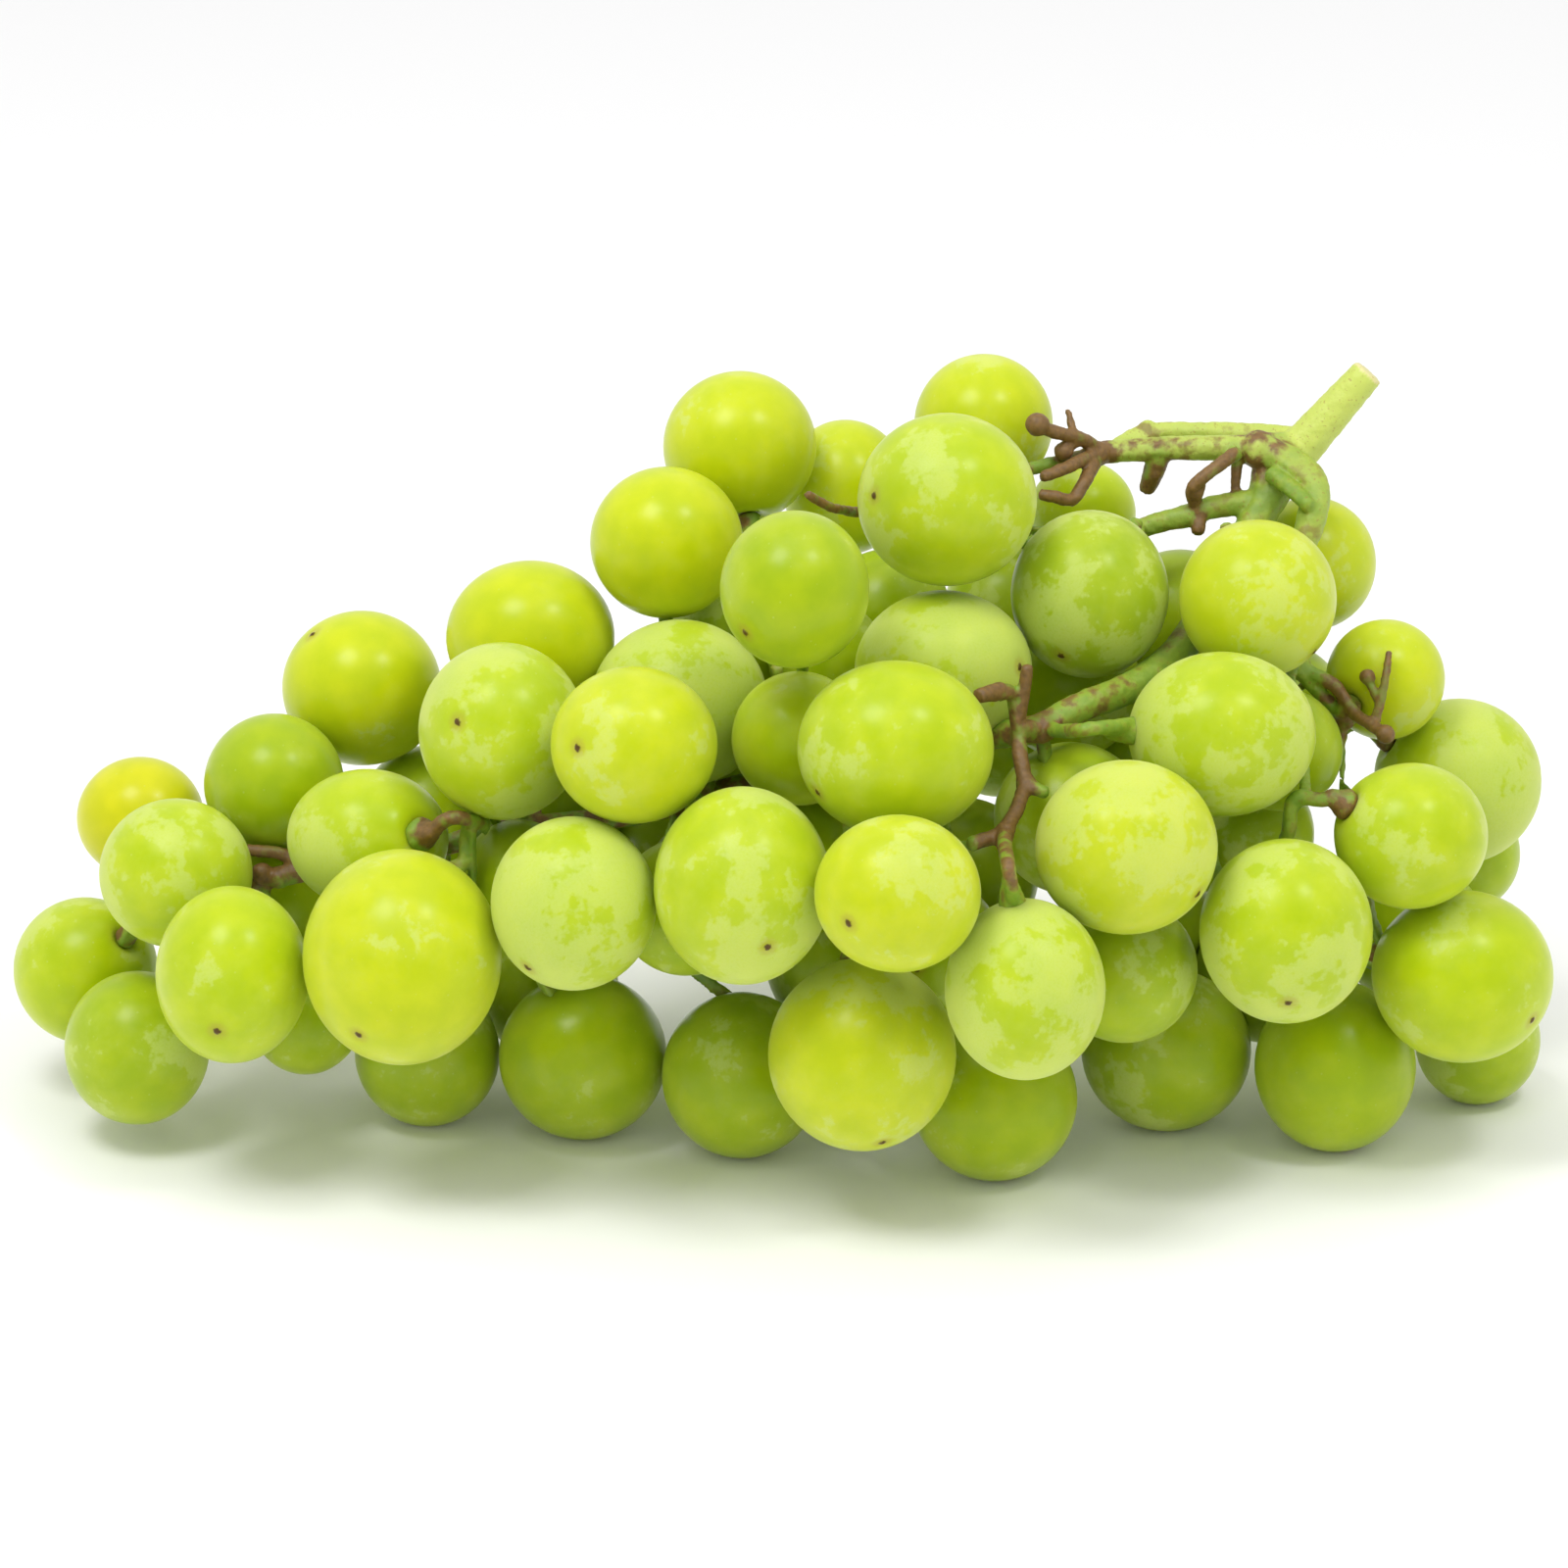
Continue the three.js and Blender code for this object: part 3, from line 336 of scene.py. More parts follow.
class Wiring:
    """Adds nodes to a shader tree and links them."""

    def __init__(self, tree: bpy.types.NodeTree) -> None:
        """Starts on the node tree of a material or group."""
        self.tree = tree

    def add(
        self, kind: str, inputs: dict[str | int, object], **settings: object
    ) -> bpy.types.Node:
        """Adds a node.

        Args:
            kind: The node's type name without "ShaderNode".
            inputs: Sockets to link, or values to set, by input name or number.
            **settings: Properties of the node.

        Returns:
            The node.
        """
        node = self.tree.nodes.new(f"ShaderNode{kind}")
        for name, value in settings.items():
            setattr(node, name, value)
        self.feed(node, inputs)
        return node

    def feed(self, node: bpy.types.Node, inputs: dict[str | int, object]) -> None:
        """Gives a node its inputs.

        Args:
            node: The node.
            inputs: Sockets to link, or values to set, by input name or number.
        """
        for name, value in inputs.items():
            if isinstance(value, bpy.types.NodeSocket):
                self.tree.links.new(value, node.inputs[name])
            else:
                node.inputs[name].default_value = value

    def math(self, operation: str, *values: object) -> bpy.types.NodeSocket:
        """The result of a named math operation on sockets or numbers."""
        return self.add("Math", dict(enumerate(values)), operation=operation).outputs[0]

    def span(
        self,
        value: bpy.types.NodeSocket,
        start: float,
        end: float,
        low: float = 0.0,
        high: float = 1.0,
    ) -> bpy.types.NodeSocket:
        """Maps a stretch of values smoothly to another, and holds it beyond both ends.

        Args:
            value: The socket to map.
            start: Value that gives low.
            end: Value that gives high.
            low: Result at the start.
            high: Result at the end.

        Returns:
            The output socket.
        """
        inputs = {"Value": value, "From Min": start, "From Max": end}
        inputs |= {"To Min": low, "To Max": high}
        node = self.add("MapRange", inputs, interpolation_type="SMOOTHSTEP")
        return node.outputs["Result"]

    def mix(self, factor: object, first: object, second: object) -> bpy.types.NodeSocket:
        """Mixes two sockets or colours; the factor is the share of the second."""
        node = self.add("Mix", {0: factor, 6: first, 7: second}, data_type="RGBA")
        return node.outputs[2]

    def noise(
        self, vector: object, scale: object, detail: float, seed: object = 0.0
    ) -> bpy.types.NodeSocket:
        """Values of four-dimensional noise.

        Args:
            vector: Coordinates.
            scale: Waves per unit.
            detail: Finer layers.
            seed: Fourth coordinate.

        Returns:
            The output socket.
        """
        inputs = {"Vector": vector, "Scale": scale, "Detail": detail, "W": seed}
        node = self.add("TexNoise", inputs, noise_dimensions="4D")
        return node.outputs["Fac"]

    def attribute(self, name: str, output: str = "Fac") -> bpy.types.NodeSocket:
        """A value that the mesh keeps under a name."""
        return self.add("Attribute", {}, attribute_name=name).outputs[output]

    def group(
        self, tree: bpy.types.NodeTree, inputs: dict[str | int, object]
    ) -> bpy.types.NodeOutputs:
        """Adds a node group with its inputs, and returns its outputs."""
        return self.add("Group", inputs, node_tree=tree).outputs


class Socket(Enum):
    """Kinds of sockets that a shader group has."""

    NUMBER = "NodeSocketFloat"
    VECTOR = "NodeSocketVector"


class Effects:
    """Shader groups that several finishes use."""

    def __init__(self) -> None:
        """Builds the groups."""
        self.bloom = self._bloom()
        self.flesh = self._flesh()
        self.ends = self._ends()
        self.weathering = self._weathering()

    @staticmethod
    def _start(
        name: str, inputs: dict[str, Socket], outputs: Sequence[str]
    ) -> tuple[Wiring, bpy.types.NodeOutputs, bpy.types.Node]:
        """Starts a group with named sockets.

        Args:
            name: The group's name.
            inputs: Kinds of sockets by input name.
            outputs: Names of its outputs, which are numbers.

        Returns:
            The group's wiring, the sockets of its inputs and its output node.
        """
        tree = bpy.data.node_groups.new(name, "ShaderNodeTree")
        for socket, kind in inputs.items():
            tree.interface.new_socket(socket, in_out="INPUT", socket_type=kind.value)
        for socket in outputs:
            kind = Socket.NUMBER.value
            tree.interface.new_socket(socket, in_out="OUTPUT", socket_type=kind)
        start = tree.nodes.new("NodeGroupInput")
        end = tree.nodes.new("NodeGroupOutput")
        return Wiring(tree), start.outputs, end

    def _bloom(self) -> bpy.types.NodeTree:
        """Waxy bloom, whole in places and rubbed off in patches with fairly crisp edges."""
        wire, given, end = self._start(
            "Waxy Bloom",
            {"Place": Socket.VECTOR, "Seed": Socket.NUMBER, "Kept": Socket.NUMBER},
            ("Cover", "Grain"),
        )
        place, seed = given["Place"], given["Seed"]
        wide_share, torn_share, bent_share = 0.62, 0.22, 0.16
        kept_weight, kept_offset = 0.34, -0.66
        patch_cover = 0.66
        bent = wire.noise(place, scale=0.42, detail=2.0, seed=seed)
        wide = wire.noise(place, scale=0.11, detail=2.0, seed=seed)
        torn = wire.noise(place, scale=0.9, detail=5.0, seed=seed)
        shape = wire.math("MULTIPLY", wide, wide_share)
        shape = wire.math("MULTIPLY_ADD", torn, torn_share, shape)
        shape = wire.math("MULTIPLY_ADD", bent, bent_share, shape)
        kept = wire.math("MULTIPLY_ADD", given["Kept"], kept_weight, kept_offset)
        left = wire.math("ADD", shape, kept)
        patches = wire.span(left, start=0.0, end=0.06, high=patch_cover)
        veil = wire.span(left, start=-0.12, end=0.18, high=0.3)
        grain = wire.noise(place, scale=3.2, detail=4.0, seed=seed)
        cover = wire.math("MAXIMUM", patches, veil)
        specks = wire.span(grain, start=0.25, end=0.6, low=0.72, high=1.0)
        cover = wire.math("MULTIPLY", cover, specks)
        wire.feed(end, {"Cover": cover, "Grain": grain})
        return wire.tree

    def _flesh(self) -> bpy.types.NodeTree:
        """Faint paler and deeper clouds inside the flesh, and tiny pale pores."""
        wire, given, end = self._start(
            "Cloudy Flesh",
            {"Place": Socket.VECTOR, "Seed": Socket.NUMBER},
            ("Clouds", "Pores"),
        )
        place = given["Place"]
        depth = wire.noise(place, scale=0.22, detail=3.0, seed=given["Seed"])
        clouds = wire.span(depth, start=0.3, end=0.7)
        cells = wire.add("TexVoronoi", {"Vector": place, "Scale": 0.55, "Randomness": 1.0})
        pores = wire.span(cells.outputs["Distance"], start=0.03, end=0.12, low=1.0, high=0.0)
        wire.feed(end, {"Clouds": clouds, "Pores": pores})
        return wire.tree

    def _ends(self) -> bpy.types.NodeTree:
        """Dark scar with its pale ring at the berry's tip, and the tinted rim of its stem pit."""
        wire, given, end = self._start(
            "Berry Ends",
            {"From Scar": Socket.VECTOR, "From Pit": Socket.VECTOR, "Seed": Socket.NUMBER},
            ("Scar", "Ring", "Pit"),
        )
        ragged = wire.noise(given["From Scar"], scale=2.2, detail=2.0, seed=given["Seed"])
        away = {}
        for name, raggedness in (("From Scar", 0.7), ("From Pit", 1.2)):
            length = wire.add("VectorMath", {0: given[name]}, operation="LENGTH")
            value = length.outputs["Value"]
            away[name] = wire.math("MULTIPLY_ADD", ragged, raggedness, value)
        fades = {
            "Scar": ("From Scar", 0.72, 1.05),
            "Ring": ("From Scar", 1.0, 2.2),
            "Pit": ("From Pit", 1.5, 3.2),
        }
        for output, (name, near, far) in fades.items():
            wire.feed(end, {output: wire.span(away[name], near, far, low=1.0, high=0.0)})
        return wire.tree

    def _weathering(self) -> bpy.types.NodeTree:
        """Streaks and specks of drying bark."""
        wire, given, end = self._start(
            "Weathering",
            {"Place": Socket.VECTOR, "Seed": Socket.NUMBER},
            ("Streaks", "Specks", "Ripple"),
        )
        place, seed = given["Place"], given["Seed"]
        long_waves = wire.noise(place, scale=0.45, detail=4.0, seed=seed)
        fine_waves = wire.noise(place, scale=2.4, detail=2.0, seed=seed)
        marks = {
            "Streaks": wire.span(long_waves, start=0.35, end=0.68),
            "Specks": wire.span(fine_waves, start=0.60, end=0.70),
            "Ripple": wire.noise(place, scale=1.6, detail=5.0, seed=seed),
        }
        wire.feed(end, marks)
        return wire.tree


def linear(red: int, green: int, blue: int) -> tuple[float, float, float, float]:
    """A display colour as a linear one.

    Args:
        red: 0 to 255.
        green: 0 to 255.
        blue: 0 to 255.

    Returns:
        The linear colour with full alpha.
    """
    shares = [value / 255 for value in (red, green, blue)]
    values = [s / 12.92 if s <= 0.04045 else ((s + 0.055) / 1.055) ** 2.4 for s in shares]
    return (*values, 1.0)


def new_material(name: str) -> tuple[bpy.types.Material, Wiring, bpy.types.NodeSocket]:
    """Starts a node material.

    Args:
        name: The material's name.

    Returns:
        The material, its wiring and its surface socket.
    """
    material = bpy.data.materials.new(name)
    material.use_nodes = True
    material.node_tree.nodes.clear()
    output = material.node_tree.nodes.new("ShaderNodeOutputMaterial")
    return material, Wiring(material.node_tree), output.inputs["Surface"]


def millimetres(wire: Wiring) -> bpy.types.NodeSocket:
    """Object coordinates in millimetres.

    Args:
        wire: Wiring of a material.

    Returns:
        The vector socket.
    """
    coordinates = wire.add("TexCoord", {}).outputs["Object"]
    scaled = wire.add("VectorMath", {0: coordinates, "Scale": 1000.0}, operation="SCALE")
    return scaled.outputs[0]


@dataclass(frozen=True)
class GrapeSkin:
    """Translucent flesh under a thin skin with bloom, scar and stem pit, and a painted pale rim sheen
    where the skin turns away from the camera.
    """

    tone: Tone
    clear: tuple[int, int, int]
    deep: tuple[int, int, int]
    bloom_and_sheen_colour: tuple[int, int, int] = (206, 219, 140)
    scar_colour: tuple[int, int, int] = (84, 62, 20)
    ring_colour: tuple[int, int, int] = (176, 160, 60)
    pit_colour: tuple[int, int, int] = (120, 130, 30)
    roughness: float = 0.29
    bloom_roughness: float = 0.30
    painted_sheen_blend: float = 0.28
    painted_sheen_share: float = 0.22
    bloom_share: float = 0.66
    pore_share: float = 0.22
    pit_share: float = 0.7
    ring_share: float = 0.45

    def material(self, effects: Effects) -> bpy.types.Material:
        """Builds the material.

        Args:
            effects: The shared shader groups.

        Returns:
            The material.
        """
        material, wire, surface = new_material(f"grape_{self.tone.value}")
        place, seed = millimetres(wire), wire.attribute("berry_seed")
        flesh = wire.group(effects.flesh, {"Place": place, "Seed": seed})
        kept = wire.attribute("bloom_kept")
        bloom = wire.group(effects.bloom, {"Place": place, "Seed": seed, "Kept": kept})
        ends = wire.group(
            effects.ends,
            {
                "From Scar": wire.attribute("from_scar", "Vector"),
                "From Pit": wire.attribute("from_pit", "Vector"),
                "Seed": seed,
            },
        )
        # Painted sheen: a pale rim painted into the base colour, growing where the skin faces away
        # from the camera, in place of reflected light.
        painted_sheen = wire.add("LayerWeight", {"Blend": self.painted_sheen_blend}).outputs["Facing"]
        colour = wire.mix(flesh["Clouds"], linear(*self.deep), linear(*self.clear))
        pores = wire.math("MULTIPLY", flesh["Pores"], self.pore_share)
        colour = wire.mix(pores, colour, linear(*self.bloom_and_sheen_colour))
        cover = wire.math("MULTIPLY", bloom["Cover"], self.bloom_share)
        # The painted rim sheen is added to the real bloom cover here, so one mix paints both in the
        # pale bloom colour.
        cover = wire.math("MULTIPLY_ADD", painted_sheen, self.painted_sheen_share, cover)
        colour = wire.mix(cover, colour, linear(*self.bloom_and_sheen_colour))
        pit = wire.math("MULTIPLY", ends["Pit"], self.pit_share)
        colour = wire.mix(pit, colour, linear(*self.pit_colour))
        ring = wire.math("MULTIPLY", ends["Ring"], self.ring_share)
        colour = wire.mix(ring, colour, linear(*self.ring_colour))
        colour = wire.mix(ends["Scar"], colour, linear(*self.scar_colour))
        rough = wire.math("MULTIPLY_ADD", bloom["Cover"], self.bloom_roughness, self.roughness)
        grain = {"Height": bloom["Grain"], "Strength": 0.05, "Distance": 0.2 * MM}
        bump = wire.add("Bump", grain).outputs["Normal"]
        shader = wire.add(
            "BsdfPrincipled",
            {
                "Base Color": colour,
                "Roughness": rough,
                "IOR": 1.38,
                "Normal": bump,
                "Subsurface Weight": 0.85,
                "Subsurface Radius": (0.9, 1.0, 0.25),
                "Subsurface Scale": 3.5 * MM,
                "Specular IOR Level": 0.34,
                "Coat Weight": 0.05,
                "Coat Roughness": 0.16,
            },
        )
        wire.tree.links.new(shader.outputs[0], surface)
        return material


SKINS = (
    GrapeSkin(Tone.SUNNY, (202, 212, 8), (189, 204, 4)),
    GrapeSkin(Tone.LIME, (190, 207, 8), (176, 198, 4)),
    GrapeSkin(Tone.LEAFY, (172, 192, 6), (157, 182, 3)),
    GrapeSkin(Tone.AMBER, (212, 210, 10), (200, 202, 5)),
)


@dataclass(frozen=True)
class StalkBark:
    """Fresh green stalk, pale at the cut shoot and brown where it dries."""

    green: tuple[int, int, int] = (156, 176, 52)
    leafy: tuple[int, int, int] = (122, 154, 44)
    pale: tuple[int, int, int] = (206, 218, 104)
    brown: tuple[int, int, int] = (150, 112, 52)
    dark: tuple[int, int, int] = (84, 62, 40)
    cut: tuple[int, int, int] = (222, 214, 150)
    seed: float = 3.0
    speck_share: float = 0.5
    streak_dryness: float = 0.5

    def material(self, effects: Effects) -> bpy.types.Material:
        """Builds the material.

        Args:
            effects: The shared shader groups.

        Returns:
            The material.
        """
        material, wire, surface = new_material("stalk_bark")
        place = millimetres(wire)
        marks = wire.group(effects.weathering, {"Place": place, "Seed": self.seed})
        colour = wire.mix(marks["Streaks"], linear(*self.leafy), linear(*self.green))
        colour = wire.mix(wire.attribute("pale"), colour, linear(*self.pale))
        colour = wire.mix(wire.attribute("cut"), colour, linear(*self.cut))
        specks = wire.math("MULTIPLY", marks["Specks"], self.speck_share)
        colour = wire.mix(specks, colour, linear(*self.brown))
        dry = wire.attribute("dry")
        dry = wire.math("MULTIPLY_ADD", marks["Streaks"], self.streak_dryness, dry)
        brown = wire.mix(marks["Ripple"], linear(*self.dark), linear(*self.brown))
        colour = wire.mix(wire.span(dry, start=0.45, end=0.85), colour, brown)
        ripple = {"Height": marks["Ripple"], "Strength": 0.35, "Distance": 0.4 * MM}
        bump = wire.add("Bump", ripple).outputs["Normal"]
        shader = wire.add(
            "BsdfPrincipled",
            {
                "Base Color": colour,
                "Roughness": 0.5,
                "Normal": bump,
                "Subsurface Weight": 0.25,
                "Subsurface Radius": (0.8, 1.0, 0.3),
                "Subsurface Scale": 1.0 * MM,
            },
        )
        wire.tree.links.new(shader.outputs[0], surface)
        return material


@dataclass(frozen=True)
class PaleSurface:
    """Matt pale floor."""

    colour: tuple[int, int, int] = (250, 250, 250)
    roughness: float = 0.9

    def material(self) -> bpy.types.Material:
        """Builds the material."""
        material, wire, surface = new_material("pale_floor")
        looks = {"Base Color": linear(*self.colour), "Roughness": self.roughness}
        shader = wire.add("BsdfPrincipled", looks)
        wire.tree.links.new(shader.outputs[0], surface)
        return material


def new_object(
    name: str, verts: np.ndarray, faces: Iterable[Sequence[int]], smooth: bool = True
) -> bpy.types.Object:
    """Makes a mesh object at the origin.

    Args:
        name: The object's name.
        verts: Its corners, in metres.
        faces: Its faces.
        smooth: Whether it shades smoothly.

    Returns:
        The object, in the scene.
    """
    mesh = bpy.data.meshes.new(name)
    mesh.from_pydata(verts.tolist(), [], [list(face) for face in faces])
    mesh.polygons.foreach_set("use_smooth", [smooth] * len(mesh.polygons))
    piece = bpy.data.objects.new(name, mesh)
    bpy.context.scene.collection.objects.link(piece)
    return piece


def mesh_arrays(mesh: bmesh.types.BMesh) -> tuple[np.ndarray, np.ndarray]:
    """Reads a triangle mesh and frees it.

    Args:
        mesh: The mesh.

    Returns:
        Its corners and its triangles.
    """
    mesh.verts.index_update()
    verts = np.array([vert.co[:] for vert in mesh.verts])
    faces = np.array([[vert.index for vert in face.verts] for face in mesh.faces])
    mesh.free()
    return verts, faces


def ball_mesh(subdivisions: int, radius: float) -> tuple[np.ndarray, np.ndarray]:
    """A ball of even triangles at the origin.

    Args:
        subdivisions: How often its triangles are split.
        radius: Its radius.

    Returns:
        Its corners and its triangles.
    """
    mesh = bmesh.new()
    bmesh.ops.create_icosphere(mesh, subdivisions=subdivisions, radius=radius)
    return mesh_arrays(mesh)


def keep_values(mesh: bpy.types.Mesh, name: str, values: np.ndarray) -> None:
    """Stores a number or a vector on each corner of a mesh.

    Args:
        mesh: The mesh.
        name: The attribute's name.
        values: One row for each corner.
    """
    is_vector = values.ndim == 2
    kind = "FLOAT_VECTOR" if is_vector else "FLOAT"
    attribute = mesh.attributes.new(name, kind, "POINT")
    attribute.data.foreach_set("vector" if is_vector else "value", values.ravel())


@dataclass(frozen=True)
class CadBox:
    """The box of the frame, which every piece stays in."""

    low: tuple[float, float, float]
    high: tuple[float, float, float]

    def hold(self, points: np.ndarray) -> np.ndarray:
        """The same points, or the nearest ones inside the box."""
        return np.clip(points, np.array(self.low), np.array(self.high))


@dataclass
class BerryBunch:
    """All berries, one piece for each frame node that holds some."""

    skins: dict[Tone, bpy.types.Material]
    box: CadBox
    subdivisions: int = 5
    crowding: float = 0.62
    lump_height: float = 0.09 * MM
    pit_depth: float = 1.25 * MM
    pit_radius: float = 1.9 * MM
    shoulder_height: float = 0.16 * MM
    shoulder_radius: float = 3.6 * MM
    scar_depth: float = 0.26 * MM
    scar_radius: float = 1.5 * MM
    nub_height: float = 0.34 * MM
    nub_radius: float = 0.5 * MM
    contact_gap: float = 0.04 * MM
    lump_waves: tuple[float, float, float] = (1.6, 2.3, 3.4)
    full_turn: float = 6.3
    bloom_spread: float = 0.06
    seed_span: float = 40.0
    scar_wander: float = 0.08
    hidden_scar: tuple[float, float] = (0.1, 0.5)
    fitter: BerryFitter = field(default_factory=BerryFitter)
    shapes: list[BerryShape] = field(default_factory=list)
    shown: dict[int, BerryShape] = field(default_factory=dict)

    def build(self, nodes: dict[str, bpy.types.Object]) -> None:
        """Builds the berries of every node and puts them in the nodes' places.

        Args:
            nodes: The frame's nodes by name.
        """
        ball, faces = self._unit_ball()
        for name in sorted(nodes):
            if not name.startswith("berry"):
                continue
            number = int(name.rsplit("_", 1)[1])
            look = LOOKS.get(number, HIDDEN_LOOK)
            shapes = self.fitter.shapes(nodes[name])
            self.shapes.extend(shapes)
            self.shown[number] = shapes[0]
            piece = self._piece(name, number, look, shapes, ball, faces)
            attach(piece, "root")
            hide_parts(name)
            LOG.info("%s: %d berries, %s", name, len(shapes), look.tone.value)

    def _unit_ball(self) -> tuple[np.ndarray, np.ndarray]:
        """A ball whose corners crowd towards both poles.

        Returns:
            Its corners and its triangles.
        """
        corners, faces = ball_mesh(self.subdivisions, 1.0)
        corners /= np.linalg.norm(corners, axis=1, keepdims=True)
        polar = np.arccos(np.clip(corners[:, 2], -1, 1))
        moved = polar - self.crowding * np.sin(2 * polar) / 2
        around = np.hypot(corners[:, 0], corners[:, 1])
        flat = corners[:, :2] / np.where(around > 1e-9, around, 1)[:, None]
        return np.column_stack([flat * np.sin(moved)[:, None], np.cos(moved)]), faces

    def _piece(
        self,
        name: str,
        number: int,
        look: BerryLook,
        shapes: list[BerryShape],
        ball: np.ndarray,
        faces: np.ndarray,
    ) -> bpy.types.Object:
        """One node's berries as one mesh.

        Args:
            name: The node's name.
            number: The berry's number.
            look: Finish of the berry that shows.
            shapes: The berries, the one that shows first.
            ball: Corners of the unit ball.
            faces: Its triangles.

        Returns:
            The piece.
        """
        rng = np.random.default_rng(SEED + number)
        rows: dict[str, list[np.ndarray]] = {"from_scar": [], "from_pit": []}
        numbers: dict[str, list[np.ndarray]] = {"berry_seed": [], "bloom_kept": []}
        places = []
        for order, shape in enumerate(shapes):
            own = look if order == 0 else HIDDEN_LOOK
            scar = self._scar_direction(shape, own, order == 0, rng)
            points = self._skin(shape, scar, ball, rng)
            points = self._pressed(points, shape, shapes) @ VIEW.axes
            places.append(self.box.hold(points))
            scar_place = shape.on_skin(scar) @ VIEW.axes
            rows["from_scar"].append((places[-1] - scar_place) / MM)
            rows["from_pit"].append((places[-1] - shape.pit_place()) / MM)
            kept = own.bloom.value + rng.uniform(-self.bloom_spread, self.bloom_spread)
            seed = rng.uniform(0, self.seed_span)
            numbers["berry_seed"].append(np.full(len(points), seed))
            numbers["bloom_kept"].append(np.full(len(points), kept))
        count = len(ball)
        triangles = np.concatenate([faces + count * i for i in range(len(shapes))])
        piece = new_object(f"{name}_skin", np.concatenate(places), triangles)
        for key, values in {**rows, **numbers}.items():
            keep_values(piece.data, key, np.concatenate(values))
        piece.data.materials.append(self.skins[look.tone])
        return piece

    def _scar_direction(
        self, shape: BerryShape, look: BerryLook, shows: bool, rng: np.random.Generator
    ) -> np.ndarray:
        """Where the scar is on the unit ball: as seen, or else about opposite the pit.

        Args:
            shape: The berry.
            look: Its finish.
            shows: Whether the berry shows from the front, where no other scar does.
            rng: Source of chance.

        Returns:
            A unit vector along the view's axes.
        """
        if look.scar:
            across, up = look.scar
            return np.array([across, -math.sqrt(max(0.0, 1 - across**2 - up**2)), up])
        scar = -shape.pit + rng.normal(0, self.scar_wander, 3)
        if shows:
            scar[1] = max(scar[1], rng.uniform(*self.hidden_scar))
        return scar / np.linalg.norm(scar)

    def _skin(
        self,
        shape: BerryShape,
        scar: np.ndarray,
        ball: np.ndarray,
        rng: np.random.Generator,
    ) -> np.ndarray:
        """The berry's skin with its slight lumps, its stem pit and its scar.

        Args:
            shape: The berry.
            scar: Direction of the scar.
            ball: Corners of the unit ball.
            rng: Source of chance.

        Returns:
            The corners along the view's axes.
        """
        turn = Vector((0, 0, 1)).rotation_difference(Vector(scar)).to_matrix()
        directions = ball @ np.array(turn).T
        size = float(shape.half_axes.mean())
        rise = np.full(len(ball), -self.lump_height)
        height = self.lump_height / len(self.lump_waves)
        for frequency in self.lump_waves:
            way = rng.normal(0, 1, 3)
            way *= frequency / np.linalg.norm(way)
            rise += height * np.sin(directions @ way + rng.uniform(0, self.full_turn))
        from_pit = size * np.arccos(np.clip(directions @ shape.pit, -1, 1))
        from_scar = size * np.arccos(np.clip(directions @ scar, -1, 1))
        rise -= self.pit_depth * np.exp(-((from_pit / self.pit_radius) ** 2))
        shoulder = (from_pit - self.shoulder_radius) / self.pit_radius
        rise += self.shoulder_height * np.exp(-(shoulder**2))
        rise -= self.scar_depth * np.exp(-((from_scar / self.scar_radius) ** 2))
        rise += self.nub_height * np.exp(-((from_scar / self.nub_radius) ** 2))
        return shape.on_skin(directions) + directions * rise[:, None]

    def _pressed(
        self, points: np.ndarray, shape: BerryShape, shapes: list[BerryShape]
    ) -> np.ndarray:
        """Flattens a berry where it presses on its neighbours in the clump.

        Args:
            points: The berry's corners along the view's axes.
            shape: The berry.
            shapes: All berries of the clump.

        Returns:
            The corners, none past a contact plane.
        """
        for other in shapes:
            if other is shape:
                continue
            between = other.centre - shape.centre
            apart = float(np.linalg.norm(between))
            normal = between / apart
            own_reach = np.linalg.norm(shape.half_axes * normal)
            other_reach = np.linalg.norm(other.half_axes * normal)
            if own_reach + other_reach <= apart:
                continue
            limit = (apart + own_reach - other_reach) / 2 - self.contact_gap
            heights = (points - shape.centre) @ normal
            shrink = np.where(heights > limit, limit / np.maximum(heights, 1e-9), 1.0)
            points = shape.centre + (points - shape.centre) * shrink[:, None]
        return points


@dataclass(frozen=True)
class Branch:
    """A round branch of the stalk, in the view.

    Attributes:
        start_radius: Millimetres where it starts.
        end_radius: Millimetres where it ends.
        places: What it runs through.
        dry: How brown and dry it is at both ends.
        pale: How pale its bark is.
    """

    start_radius: float
    end_radius: float
    places: tuple[tuple[float, float, float], ...]
    dry: tuple[float, float]
    pale: float = 0.0


